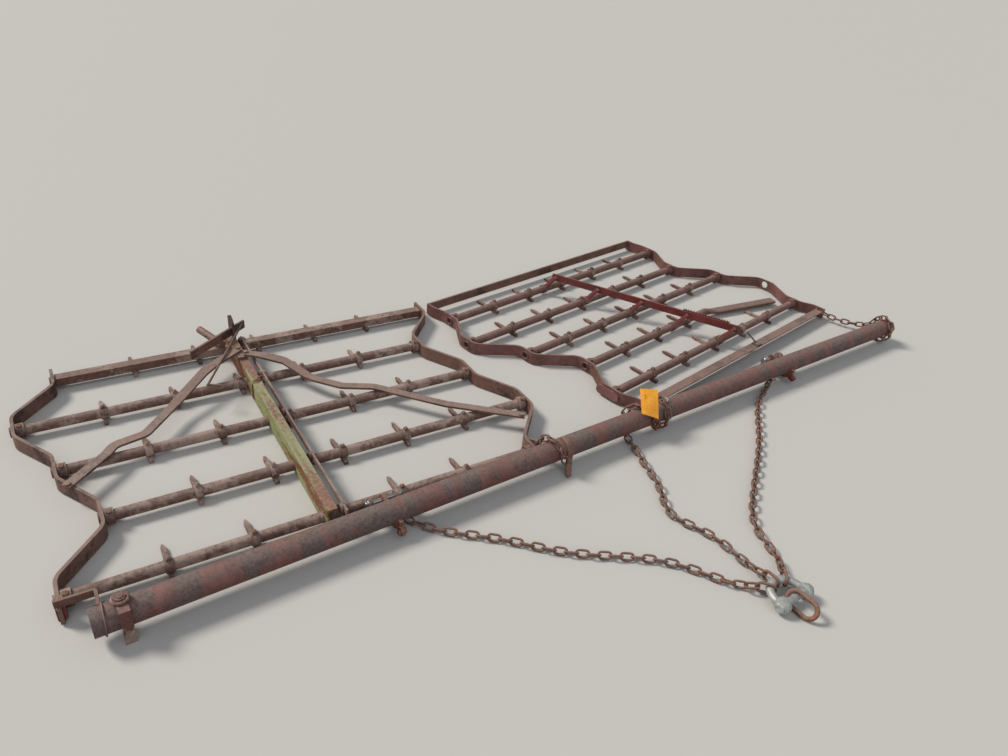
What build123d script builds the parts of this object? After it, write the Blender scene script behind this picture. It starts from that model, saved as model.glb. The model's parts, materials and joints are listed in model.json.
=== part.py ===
from build123d import *
import math
import os

# Drag harrow: two spike-tooth sections of different makes behind one pipe drawbar,
# pulled by a three-chain bridle. Millimetres, +X along the drawbar to the right,
# +Y to the rear, +Z up. The ground is z = 0.

# Drawbar
DRAWBAR_LENGTH = 3400.0
DRAWBAR_DIAMETER = 73.0
DRAWBAR_WALL = 5.2
DRAWBAR_LIFT = 29.0

# Chain: welded links of round wire
LINK_WIRE = 7.1
LINK_INNER_LENGTH = 32.4
LINK_INNER_WIDTH = 12.7
LINK_CORNER = 7.0
LINK_PLAY = 0.8
LINK_WOUND_PLAY = 2.4
LINK_ROLL = 45.0
CHAIN_GROUND_GAP = 2.0
WRAP_GAP = 0.8

# Tooth bars: pipe, square teeth and the bands that clamp them under the pipe
PIPE_DIAMETER = 33.4
PIPE_WALL = 3.4
TOOTH_SIZE = 13.0
TOOTH_BEHIND = 92.0
TOOTH_AHEAD = 12.0
TOOTH_POINT = 16.0
TOOTH_POINT_TIP = 5.0
BAND_WALL = 4.0
BAND_WIDTH = 22.0
BAND_LUG_HEIGHT = 7.0
SEAT_GAP = 0.3
BEARING_GAP = 0.5
PIPE_END = 6.0
COLLAR_LENGTH = 24.0
COLLAR_WALL = 7.0
COLLAR_GAP = 1.5

# Teeth of either section: centred on their bar
TEETH_PER_BAR = 5
TOOTH_SPACING = 225.0

# Side rails: flat bar on edge
RAIL_HEIGHT = 50.0
RAIL_THICKNESS = 10.0

# Left section: its reach inward to the drawbar's middle and outward past its end, the distance of
# its first bar behind the drawbar, and its turn to the drawbar
LEFT_FROM_MIDDLE = 290.0
LEFT_PAST_END = 6.0
LEFT_Y = 106.0
LEFT_TURN = -3.2
LEFT_PITCH = 260.0
LEFT_TRACK = 45.0
LEFT_STRAIGHT = 112.0
LEFT_BEND = 58.0
LEFT_INNER_TIP = 22.0
LEFT_OUTER_TIP = 60.0
LEFT_REAR_TIP = 45.0

# Right section: its distances from the drawbar's middle and from its end, the distance of its first
# bar behind the drawbar, and its turn to the drawbar
RIGHT_FROM_MIDDLE = 74.0
RIGHT_FROM_END = 218.0
RIGHT_Y = 299.0
RIGHT_TURN = 8.2
RIGHT_PITCH = 199.0
RIGHT_TRACK = 73.0
RIGHT_STRAIGHT = 84.0
RIGHT_BEND = 52.0
RIGHT_FRONT = 137.0
RIGHT_FRONT_SHIFT = 100.0
RIGHT_REAR = 142.0
RIGHT_REAR_SHIFT = -88.0
RIGHT_RAIL_THICKNESS = 8.0

# Side steps of the five bars, front to rear, in tracks
LEFT_STEPS = (-1, 2, 0, -2, 1)
RIGHT_STEPS = (1, 2, 0, -2, -1)

# Left carrier angle, cranks and link bar
CARRIER_U = -72.0
CARRIER_WEB = 6.0
CARRIER_FLANGE = 32.0
CARRIER_TOP = 82.0
CARRIER_BOTTOM = 7.0
CARRIER_AHEAD = 36.0
CARRIER_BEHIND = 40.0
LEFT_CRANK_LENGTH = 45.0
LEFT_CRANK_LEAN = 30.0
LEFT_CRANK_U = -28.0
LEFT_LINK_DEPTH = 20.0
LEFT_LINK_AHEAD = 30.0

# Right rockers and slanted link bar with its rack
RIGHT_CRANK_LENGTH = 75.0
RIGHT_CRANK_LEAN = 32.0
RIGHT_LINK_U = 140.0
RIGHT_LINK_SLANT = 0.39
RIGHT_LINK_DEPTH = 32.0
RIGHT_LINK_THICKNESS = 8.0
ROCKER_THICKNESS = 14.0
ROCKER_FOOT_FAR = 54.0
ROCKER_FOOT_NEAR = 32.0
ROCKER_CLEAR = 10.5

# Crank plates and their pins
CRANK_THICKNESS = 6.0
CRANK_EYE = 11.0
CRANK_PIN_RADIUS = 5.0
PIN_GAP = 0.3
LINK_SIDE_GAP = 1.0
LINK_THICKNESS = 6.0

# Rack on the right link bar
RACK_LENGTH = 210.0
RACK_START = 30.0
RACK_CHEEK_DEPTH = 40.0
RACK_CHEEK = 5.0
RACK_TEETH = 18
RACK_TOOTH_HEIGHT = 5.0

# Lift hinges of the sections, draft lugs under the drawbar and the clevises on their rear ends
HINGE_Y = 54.0
HINGE_Z = 66.0
RIGHT_HINGE_Z = 35.0
LUG_THICKNESS = 12.0
LUG_BAND = 15.0
LUG_EYE_Y = 62.0
LUG_EYE_Z = 62.0
LUG_EYE_RADIUS = 17.0
LUG_NOSE_Y = -54.0
LUG_NOSE_Z = 30.0
LUG_NOSE_RADIUS = 13.0
LUG_NOSE_BORE = 7.0
LEFT_LUG_X = -900.0
RIGHT_LUG_X = 930.0
CLEVIS_INSIDE = 76.0
CLEVIS_LEG = 10.0
CLEVIS_BASE_RADIUS = 6.0
CLEVIS_BASE_Z = 14.0
CLEVIS_PIN_RADIUS = 8.0
CLEVIS_PIN_OVERHANG = 9.0
CLEVIS_EYE_RADIUS = 17.0

# Windings about the drawbar, angles from behind (0) over the top (90)
MIDDLE_WRAP_X0 = 28.0
MIDDLE_WRAP_X1 = 150.0
MIDDLE_WRAP_START = -80.0
MIDDLE_WRAP_STOP = 225.0
# Columns: x at the start and x at the end, both from the hole, angle at the start, angle at the end,
# slack round the drawbar
tie_windings = {
    "left_inner_tie_chain": (-5.4, 39.6, 8.0, 215.0, 1.6),
    "right_inner_tie_chain": (1.1, -34.9, 22.0, 350.0, 1.6),
    "right_outer_tie_chain": (83.5, 41.5, 20.0, 350.0, 0.0),
}

# Points that a tie chain passes between its hole and the drawbar: x and y from the hole, z
tie_leads = {
    "left_inner_tie_chain": [],
    "right_inner_tie_chain": [],
    "right_outer_tie_chain": [(5.5, -38.1, 31.0), (45.5, -130.1, 30.0)],
}

# Tips of the sections: eyes on the left rails, holes in the right rails
TIE_HOLE = 5.4
TIE_EYE = 12.0
RIGHT_TIE = 145.0
OUTER_EYE_INSET = 28.0
CLIP_THICKNESS = 8.0
CLIP_LOW = 54.0
CLIP_HIGH = 77.0
WIRE_RADIUS = 2.0
WIRE_SPREAD = 7.0

# Strap at the drawbar's left end and the bolt through the drawbar
STRAP_INSET = 72.0
STRAP_WIDTH = 26.0
STRAP_THICKNESS = 8.0
STRAP_BACK = 18.0
BOLT_RADIUS = 8.0
BOLT_HEAD_RADIUS = 14.0
BOLT_HEAD_HEIGHT = 10.0
WASHER_RADIUS = 22.0
BOLT_GAP = 0.3

# Lever of the left section, parked across the carrier, with its notched plate and latch rod
# Places are (across, behind the last bar) in the left section's own axes
LEVER_GRIP = (-225.0, -135.0)
LEVER_PIVOT = (6.0, 27.0)
NOTCH_PLATE = (-46.0, 4.0)
NOTCH_PLATE_LENGTH = 64.0
STUB_LOW = (-98.0, -55.0)
STUB_HIGH = (-147.0, 89.0)
LATCH_ROUTE = ((3.0, 23.0, 118.0), (-216.0, -330.0, 99.0), (-174.0, -349.0, 97.0))
LEVER_BOTTOM = 93.0
LEVER_DEPTH = 32.0
LEVER_THICKNESS = 8.0
NOTCH_PLATE_TOP = 165.0
STUB_RADIUS = 14.0
LATCH_ROD = 4.0

# Bent right end of the right section's second bar
BENT_START = 298.0
BENT_FLAT_U = 372.0
BENT_FLAT_V = 180.0
BENT_END_U = 728.0
BENT_END_V = 81.0
BENT_Z = 22.0
BENT_WIDTH = 46.0
BENT_THICKNESS = 14.0
BENT_TEETH = 3

# Hitch: shackle, its pin, the drawn link and the gathering link of the chains
HITCH_PIN_Y = -815.0
HITCH_PIN_Z = 27.5
HITCH_PIN_RADIUS = 11.0
HITCH_EYE_RADIUS = 24.0
HITCH_EYE_THICKNESS = 22.0
HITCH_LEFT_EYE_X = -124.0
HITCH_RIGHT_EYE_X = -24.0
HITCH_BOW_RADIUS = 10.0
HITCH_BOW_DEPTH = 70.0
CONNECTOR_WIRE = 9.0
CONNECTOR_INNER_LENGTH = 44.0
CONNECTOR_INNER_WIDTH = 24.0
OVAL_WIRE = 14.0
OVAL_INNER_WIDTH = 34.0
OVAL_INNER_LENGTH = 78.0
OVAL_TILT = 55.0
OVAL_BACK = 4.0

# Front angle and rear flat bar of the right section
ANGLE_SIZE = 38.0
ANGLE_THICKNESS = 5.0
ANGLE_TOP = 48.0
ANGLE_CUT_BACK = 18.0
REAR_BAR_HEIGHT = 38.0
REAR_BAR_THICKNESS = 8.0

# Rear bar of the left section: an inverted channel on two trunnions
CHANNEL_WIDTH = 36.0
CHANNEL_HEIGHT = 30.0
CHANNEL_WALL = 5.0
TOOTH_FOOT_GAP = 2.0

# Braces of the left section
BRACE_WIDTH = 30.0
BRACE_THICKNESS = 8.0
BRACE_BEND = 40.0
BRACE_RISE = 38.0
BRACE_RISE_START = 690.0
BRACE_RISE_END = 830.0

# Values worked out from the sizes above
drawbar_radius = DRAWBAR_DIAMETER / 2
drawbar_z = DRAWBAR_LIFT + drawbar_radius
pipe_radius = PIPE_DIAMETER / 2
axis_z = TOOTH_SIZE + SEAT_GAP + pipe_radius
rail_bottom = axis_z - RAIL_HEIGHT / 2
rail_top = rail_bottom + RAIL_HEIGHT
band_radius = pipe_radius + SEAT_GAP + BAND_WALL
left_half = (DRAWBAR_LENGTH / 2 + LEFT_PAST_END - LEFT_FROM_MIDDLE) / 2
left_x = -LEFT_FROM_MIDDLE - left_half
right_half = (DRAWBAR_LENGTH / 2 - RIGHT_FROM_END - RIGHT_FROM_MIDDLE) / 2
right_x = RIGHT_FROM_MIDDLE + right_half
outer_eye_x = OUTER_EYE_INSET - DRAWBAR_LENGTH / 2
strap_x = STRAP_INSET - DRAWBAR_LENGTH / 2
left_place = Location((left_x, LEFT_Y, 0), (0, 0, LEFT_TURN))
right_place = Location((right_x, RIGHT_Y, 0), (0, 0, RIGHT_TURN))
link_side = LINK_WIRE * math.sqrt(math.pi) / 2
link_eye = LINK_INNER_LENGTH + LINK_WIRE - link_side
link_pitch = link_eye - LINK_PLAY
wound_pitch = link_eye - LINK_WOUND_PLAY
link_reach = (LINK_INNER_WIDTH + LINK_WIRE + link_side) / 2
chain_half = link_reach * math.sin(math.radians(LINK_ROLL)) + link_side / 2 * math.cos(math.radians(LINK_ROLL))
chain_z = chain_half + CHAIN_GROUND_GAP
wrap_radius = math.hypot(drawbar_radius + WRAP_GAP + chain_half, wound_pitch / 2)

left_eye_shift = LEFT_TRACK * LEFT_STEPS[0] + left_half + RAIL_THICKNESS / 2 + SEAT_GAP + CLIP_THICKNESS / 2
left_eye_turn = math.radians(LEFT_TURN)
left_eye_back = (HINGE_Y - LEFT_Y - left_eye_shift * math.sin(left_eye_turn)) / math.cos(left_eye_turn)
left_eye_x = left_x + left_eye_shift * math.cos(left_eye_turn) - left_eye_back * math.sin(left_eye_turn)

# Bars of the two sections, front to rear: (distance behind the first bar, shift along the bar)
left_bars = [(LEFT_PITCH * i, LEFT_TRACK * step) for i, step in enumerate(LEFT_STEPS)]
right_bars = [(RIGHT_PITCH * i, RIGHT_TRACK * step) for i, step in enumerate(RIGHT_STEPS)]


def box(x0, x1, y0, y1, z0, z1):
    """A block between two corners."""
    return Pos((x0 + x1) / 2, (y0 + y1) / 2, (z0 + z1) / 2) * Box(x1 - x0, y1 - y0, z1 - z0)


def rod_x(radius, x0, x1, y, z):
    """A round rod along X."""
    return Pos((x0 + x1) / 2, y, z) * Cylinder(radius, x1 - x0, rotation=(0, 90, 0))


def rod_z(radius, x, y, z0, z1):
    """An upright round rod."""
    return Pos(x, y, (z0 + z1) / 2) * Cylinder(radius, z1 - z0)


def strip(points, bend, width, z0, z1):
    """A flat bar that follows a bent path in plan."""
    path = FilletPolyline(*points, radius=bend)
    return Pos(0, 0, z0) * extrude(trace(path, width), z1 - z0, dir=(0, 0, 1))


def chain_link(corner):
    """One link in the XY plane, long way along X: square wire of the round wire's area, with cut corners."""
    middle_length = LINK_INNER_LENGTH + LINK_WIRE
    middle_width = LINK_INNER_WIDTH + LINK_WIRE
    outer = Rectangle(middle_length + link_side, middle_width + link_side)
    if corner > 0:
        outer = chamfer(outer.vertices(), corner)
    eye = Rectangle(middle_length - link_side, middle_width - link_side)
    return extrude(outer - eye, link_side / 2, both=True)


def sampled(curve, count):
    """Evenly spread points of a curve."""
    return [curve.position_at(i / count) for i in range(count + 1)]


def joints_along(points, pitch):
    """Points one pitch apart, measured straight, along a row of close points."""
    joints = [points[0]]
    for a, b in zip(points, points[1:]):
        while (b - joints[-1]).length >= pitch:
            low = 0.0
            high = 1.0
            for _ in range(30):
                middle = (low + high) / 2
                if (a + (b - a) * middle - joints[-1]).length < pitch:
                    low = middle
                else:
                    high = middle
            joints.append(a + (b - a) * high)
    return joints


def onward(points, start):
    """The rest of a row of close points after the one nearest to start, with start put first."""
    nearest = min(range(len(points)), key=lambda k: (points[k] - start).length)
    return [start] + points[nearest + 1 :]


def fitted_joints(points):
    """Joints that end on the path's last point, with the pitch eased for a whole number of links."""
    total = sum((b - a).length for a, b in zip(points, points[1:]))
    count = round(total / link_pitch)
    low = link_pitch * 0.94
    high = link_pitch * 1.06
    for _ in range(40):
        pitch = (low + high) / 2
        if len(joints_along(points, pitch)) - 1 >= count:
            low = pitch
        else:
            high = pitch
    return joints_along(points, low)[: count + 1]


def lie_of(place):
    """The direction a link lies against: away from the drawbar's axis where it winds, else upright."""
    out = Vector(0, place.Y, place.Z - drawbar_z)
    return out.normalized() if out.length < wrap_radius + chain_half else Vector(0, 0, 1)


def chain(joints, head=(), tail=(), corner=LINK_CORNER):
    """Links between joints, rolled to either side in turn; head and tail give the end links' rolls."""
    link = chain_link(corner)
    count = len(joints) - 1
    rolls = list(head)
    while len(rolls) < count - len(tail):
        rolls.append(LINK_ROLL if not rolls or rolls[-1] < 0 else -LINK_ROLL)
    sign = 1 if rolls and rolls[-1] > 0 else -1
    rolls += [sign * roll for roll in tail]
    links = []
    for a, b, roll in zip(joints, joints[1:], rolls):
        way = (b - a).normalized()
        side = lie_of((a + b) * 0.5).cross(way)
        plane = Plane(origin=(a + b) * 0.5, x_dir=way, z_dir=way.cross(side))
        links.append(plane.location * Rot(roll, 0, 0) * link)
    return links


def turn_about_drawbar(x0, x1, start, stop, radius):
    """Points of a winding about the drawbar: angle 0 is behind it, 90 on top."""
    count = int(abs(stop - start) / 6) + 1
    points = []
    for i in range(count + 1):
        angle = math.radians(start + (stop - start) * i / count)
        x = x0 + (x1 - x0) * i / count
        points.append(Vector(x, radius * math.cos(angle), drawbar_z + radius * math.sin(angle)))
    return points


def tooth(u, v, in_channel=False):
    """A square tooth under its bar, pointing to the rear: banded to a pipe or footed in the channel."""
    front = v - band_radius - TOOTH_AHEAD
    rear = v + pipe_radius + TOOTH_BEHIND
    half = TOOTH_SIZE / 2
    shank = box(u - half, u + half, front, rear - TOOTH_POINT, 0, TOOTH_SIZE)
    root = Plane(origin=(u, rear - TOOTH_POINT, half), z_dir=(0, 1, 0)) * Rectangle(TOOTH_SIZE, TOOTH_SIZE)
    tip = Plane(origin=(u, rear, half), z_dir=(0, 1, 0)) * Rectangle(TOOTH_POINT_TIP, TOOTH_POINT_TIP)
    point = loft([root.face(), tip.face()])
    if in_channel:
        inside = CHANNEL_WIDTH / 2 - CHANNEL_WALL - TOOTH_FOOT_GAP
        foot_top = axis_z + pipe_radius - CHANNEL_WALL - SEAT_GAP
        return shank + point + box(u - half, u + half, v - inside, v + inside, half, foot_top)
    band = rod_x(band_radius, u - BAND_WIDTH / 2, u + BAND_WIDTH / 2, v, axis_z)
    lug = box(u - half, u + half, v - half, v + half, axis_z, axis_z + band_radius + BAND_LUG_HEIGHT)
    bore = rod_x(pipe_radius + SEAT_GAP, u - BAND_WIDTH, u + BAND_WIDTH, v, axis_z)
    floor_cut = box(u - BAND_WIDTH, u + BAND_WIDTH, v - 2 * band_radius, v + 2 * band_radius, -band_radius, 0)
    return shank + point + (band + lug - bore) - floor_cut


def tooth_row(v, shift, in_channel=False):
    """The teeth of one bar."""
    middle = (TEETH_PER_BAR - 1) / 2
    return [tooth(shift + TOOTH_SPACING * (i - middle), v, in_channel) for i in range(TEETH_PER_BAR)]


def pipe_bar(v, shift, half_width, rail_thickness):
    """A pipe through both side rails with a cast collar inside each."""
    reach = half_width + rail_thickness / 2 + PIPE_END
    bar = rod_x(pipe_radius, shift - reach, shift + reach, v, axis_z)
    inner = half_width - rail_thickness / 2 - COLLAR_GAP
    for side in (-1, 1):
        near = shift + side * inner
        far = shift + side * (inner - COLLAR_LENGTH)
        bar += rod_x(pipe_radius + COLLAR_WALL, min(near, far), max(near, far), v, axis_z)
    return bar - rod_x(pipe_radius - PIPE_WALL, shift - 2 * reach, shift + 2 * reach, v, axis_z)


def channel_bar(v, shift, half_width, rail_thickness):
    """The rear bar of the left section: an inverted channel on round trunnions."""
    reach = half_width + rail_thickness / 2 + PIPE_END
    inner = half_width - rail_thickness / 2 - COLLAR_GAP
    top = axis_z + pipe_radius
    half = CHANNEL_WIDTH / 2
    bar = box(shift - inner, shift + inner, v - half, v + half, top - CHANNEL_HEIGHT, top)
    hollow = box(
        shift - inner + COLLAR_LENGTH,
        shift + inner - COLLAR_LENGTH,
        v - half + CHANNEL_WALL,
        v + half - CHANNEL_WALL,
        top - 2 * CHANNEL_HEIGHT,
        top - CHANNEL_WALL,
    )
    bar -= hollow
    for side in (-1, 1):
        near = shift + side * (inner - COLLAR_LENGTH / 2)
        far = shift + side * reach
        bar += rod_x(pipe_radius, min(near, far), max(near, far), v, axis_z)
    return bar


def crank_pin_place(v, length, lean):
    """Where a crank's pin stands at rest, leaning forward from upright."""
    return v - length * math.sin(math.radians(lean)), axis_z + length * math.cos(math.radians(lean))


def side_rail(stations, straight, bend, front, rear, side_shift, height, thickness):
    """A cranked side rail: straight at every bar, stepping sideways between bars."""
    points = []
    for i, (v, shift) in enumerate(stations):
        before = front if i == 0 else v - straight / 2
        after = rear if i == len(stations) - 1 else v + straight / 2
        points.append((shift + side_shift, before))
        points.append((shift + side_shift, after))
    rail = strip(points, bend, thickness, rail_bottom, rail_bottom + height)
    for v, shift in stations:
        u = shift + side_shift
        rail -= rod_x(pipe_radius + BEARING_GAP, u - 2 * thickness, u + 2 * thickness, v, axis_z)
    return rail


def crank(v, u, length, lean, thickness, eye):
    """A flat crank arm from the pipe to its pin."""
    pin_v, pin_z = crank_pin_place(v, length, lean)
    plate = Plane(origin=(u, v, axis_z), x_dir=(0, 1, 0), z_dir=(1, 0, 0))
    dv = pin_v - v
    dz = pin_z - axis_z
    hub = Circle(pipe_radius + BAND_WALL)
    top = Pos(dv, dz) * Circle(eye)
    arm = make_hull((hub + top).edges())
    return extrude(plate * arm, thickness)


parts = {}

# Drawbar
parts["drawbar_pipe"] = [
    rod_x(drawbar_radius, -DRAWBAR_LENGTH / 2, DRAWBAR_LENGTH / 2, 0, drawbar_z)
    - rod_x(drawbar_radius - DRAWBAR_WALL, -DRAWBAR_LENGTH, DRAWBAR_LENGTH, 0, drawbar_z)
    - rod_z(BOLT_RADIUS + BOLT_GAP, strap_x, 0, 0, 2 * drawbar_z)
]


# Left section: its braces' turning points in the section's own axes, rear end first
left_brace_routes = {
    "outer": [(-60, 905), (-208, 806), (-327, 699), (-446, 566), (-540, 545), (-567, 509), (20 - left_half, 400)],
    "inner": [
        (-44, 868), (73, 783), (144, 661), (215, 581), (316, 531), (437, 400), (504, 328), (left_half + 20, 150),
    ],
}


def build_left():
    """Rails, tooth bars, carrier, link and braces of the left section."""
    made = {}
    rear = left_bars[-1][0] + LEFT_REAR_TIP
    for name, side, tip in (("left_outer_rail", -1, LEFT_OUTER_TIP), ("left_inner_rail", 1, LEFT_INNER_TIP)):
        made[name] = [
            side_rail(
                left_bars, LEFT_STRAIGHT, LEFT_BEND, -tip, rear,
                side * left_half, RAIL_HEIGHT, RAIL_THICKNESS,
            )
        ]
    pins = []
    for i, (v, shift) in enumerate(left_bars, 1):
        last = i == len(left_bars)
        bar = (channel_bar if last else pipe_bar)(v, shift, left_half, RAIL_THICKNESS)
        arm = crank(v, LEFT_CRANK_U, LEFT_CRANK_LENGTH, LEFT_CRANK_LEAN, CRANK_THICKNESS, CRANK_EYE)
        pin_v, pin_z = crank_pin_place(v, LEFT_CRANK_LENGTH, LEFT_CRANK_LEAN)
        pins.append((pin_v, pin_z))
        pin_end = LEFT_CRANK_U + CRANK_THICKNESS + 2 * LINK_SIDE_GAP + LINK_THICKNESS
        bore = rod_x(pipe_radius - PIPE_WALL, LEFT_CRANK_U - CRANK_THICKNESS, pin_end, v, axis_z)
        arm += rod_x(CRANK_PIN_RADIUS, LEFT_CRANK_U, pin_end, pin_v, pin_z)
        made[f"left_tooth_bar_{i}"] = [bar + arm if last else bar + (arm - bore)]
        made[f"left_teeth_{i}"] = tooth_row(v, shift, last)
    web = box(
        CARRIER_U, CARRIER_U + CARRIER_WEB, -CARRIER_AHEAD, left_bars[-1][0] + CARRIER_BEHIND,
        CARRIER_BOTTOM, CARRIER_TOP,
    )
    flange = box(
        CARRIER_U, CARRIER_U + CARRIER_FLANGE, -CARRIER_AHEAD, left_bars[-1][0] + CARRIER_BEHIND,
        CARRIER_TOP - CARRIER_WEB, CARRIER_TOP,
    )
    carrier = web + flange
    for v, _ in left_bars[:-1]:
        carrier -= rod_x(pipe_radius + BEARING_GAP, CARRIER_U - CARRIER_WEB, CARRIER_U + 2 * CARRIER_WEB, v, axis_z)
    last_v = left_bars[-1][0]
    sweep = math.hypot(CHANNEL_WIDTH / 2, pipe_radius) + 2 * BEARING_GAP
    carrier -= rod_x(sweep, CARRIER_U - CARRIER_WEB, CARRIER_U + 2 * CARRIER_WEB, last_v, axis_z)
    made["left_carrier_angle"] = [carrier]
    link_u = LEFT_CRANK_U + CRANK_THICKNESS + LINK_SIDE_GAP
    link = box(
        link_u, link_u + LINK_THICKNESS, pins[0][0] - LEFT_LINK_AHEAD, pins[-1][0] + CRANK_EYE,
        pins[0][1] - LEFT_LINK_DEPTH / 2, pins[0][1] + LEFT_LINK_DEPTH / 2,
    )
    for pin_v, pin_z in pins:
        link -= rod_x(CRANK_PIN_RADIUS + PIN_GAP, link_u - 1, link_u + LINK_THICKNESS + 1, pin_v, pin_z)
    made["left_link_bar"] = [link]
    made.update(left_braces())
    made["left_inner_tie_eye"] = [left_inner_eye()]
    made["left_outer_clip"] = [left_outer_clip()]
    made["left_lever"] = [left_lever()]
    return {name: [left_place * solid for solid in solids] for name, solids in made.items()}


def left_braces():
    """Two bent flat bars from the rear of the carrier angle down onto the side rails."""
    low = rail_top + SEAT_GAP
    high = low + BRACE_RISE
    front = min(v for _, points in left_brace_routes.items() for _, v in points) - BRACE_WIDTH
    rear = max(v for _, points in left_brace_routes.items() for _, v in points) + BRACE_WIDTH
    side = Polygon(
        (front, low),
        (BRACE_RISE_START, low),
        (BRACE_RISE_END, high),
        (rear, high),
        (rear, high + BRACE_THICKNESS),
        (BRACE_RISE_END, high + BRACE_THICKNESS),
        (BRACE_RISE_START, low + BRACE_THICKNESS),
        (front, low + BRACE_THICKNESS),
        align=None,
    )
    ribbon = extrude(Plane(origin=(0, 0, 0), x_dir=(0, 1, 0), z_dir=(1, 0, 0)) * side, DRAWBAR_LENGTH / 3, both=True)
    made = {}
    for name, points in left_brace_routes.items():
        made[f"left_{name}_brace"] = [strip(points, BRACE_BEND, BRACE_WIDTH, 0, 2 * high) & ribbon]
    end_u, end_v = left_brace_routes["outer"][0]
    half = BRACE_WIDTH / 2
    pad_start = left_brace_routes["inner"][0][1] - half
    pad = box(end_u - half, end_u + half, pad_start, end_v + half, CARRIER_TOP + SEAT_GAP, high - SEAT_GAP)
    made["left_brace_pad"] = [pad]
    return made


def left_inner_eye():
    """A drilled eye plate beside the inner rail's tip, on the lift axis."""
    u = left_bars[0][1] + left_half + RAIL_THICKNESS / 2 + SEAT_GAP
    eye = (left_place.inverse() * Pos(left_eye_x, HINGE_Y, HINGE_Z)).position
    plane = Plane(origin=(u, 0, 0), x_dir=(0, 1, 0), z_dir=(1, 0, 0))
    plate = make_hull(
        (Pos(eye.Y, eye.Z) * Circle(TIE_EYE) + Pos(eye.Y + 50, rail_top - 8) * Circle(CLIP_THICKNESS)).edges()
    )
    return extrude(plane * (plate - Pos(eye.Y, eye.Z) * Circle(TIE_HOLE)), CLIP_THICKNESS)


def left_outer_clip():
    """A bent flat bar from the outer rail's tip to an eye beside the drawbar's end, on the lift axis."""
    eye = (left_place.inverse() * Pos(outer_eye_x, HINGE_Y, HINGE_Z)).position
    rail_u = left_bars[0][1] - left_half
    tip_v = -LEFT_OUTER_TIP
    path = [(rail_u - RAIL_THICKNESS, tip_v + 14), (eye.X, tip_v + 14), (eye.X, eye.Y - TIE_EYE)]
    bar = strip(path, CLIP_THICKNESS, CLIP_THICKNESS, CLIP_LOW, CLIP_HIGH)
    bar -= box(rail_u - 40, rail_u + 40, tip_v - 40, tip_v + 40, 0, rail_top + SEAT_GAP)
    foot = box(
        rail_u + RAIL_THICKNESS / 2 + SEAT_GAP, rail_u + RAIL_THICKNESS / 2 + SEAT_GAP + CLIP_THICKNESS,
        tip_v + 14 - CLIP_THICKNESS / 2, tip_v + 30, rail_bottom + 8, CLIP_HIGH,
    )
    hole = rod_x(TIE_HOLE, eye.X - 2 * CLIP_THICKNESS, eye.X + 2 * CLIP_THICKNESS, eye.Y, eye.Z)
    return bar + foot - hole


def left_lever():
    """The parked lever with its notched plate on the carrier, a pipe stub and the bent latch rod."""
    last_v = left_bars[-1][0]
    place = Pos(0, last_v, 0)
    blade = Pos(0, last_v, LEVER_BOTTOM) * extrude(
        trace(Line(LEVER_GRIP, LEVER_PIVOT), LEVER_THICKNESS), LEVER_DEPTH, dir=(0, 0, 1)
    )
    plate_u, plate_v = NOTCH_PLATE
    half = LEVER_THICKNESS / 2
    reach = NOTCH_PLATE_LENGTH / 2
    plate = box(
        plate_u - half, plate_u + half, plate_v - reach, plate_v + reach,
        CARRIER_TOP + SEAT_GAP, NOTCH_PLATE_TOP - 14,
    )
    plate += Pos(plate_u, plate_v, NOTCH_PLATE_TOP - reach) * Cylinder(reach, LEVER_THICKNESS, rotation=(0, 90, 0))
    for step in (-1.5, -0.5, 0.5, 1.5):
        plate -= Pos(plate_u, plate_v + 14 * step, NOTCH_PLATE_TOP) * Box(20, 7, 16)
    start = Vector(*STUB_LOW, CARRIER_TOP)
    way = Vector(*STUB_HIGH, CARRIER_TOP) - start
    stub = extrude(Plane(origin=start, z_dir=way) * Circle(STUB_RADIUS), way.length)
    stub -= extrude(Plane(origin=start + way * 0.2, z_dir=way) * Circle(STUB_RADIUS - PIPE_WALL), way.length)
    rod_path = Polyline(*LATCH_ROUTE)
    rod_section = Plane(origin=rod_path @ 0, z_dir=rod_path % 0) * Circle(LATCH_ROD)
    rod = sweep(rod_section, path=rod_path, transition=Transition.RIGHT)
    return blade + place * (plate + stub + rod)


parts.update(build_left())


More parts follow.
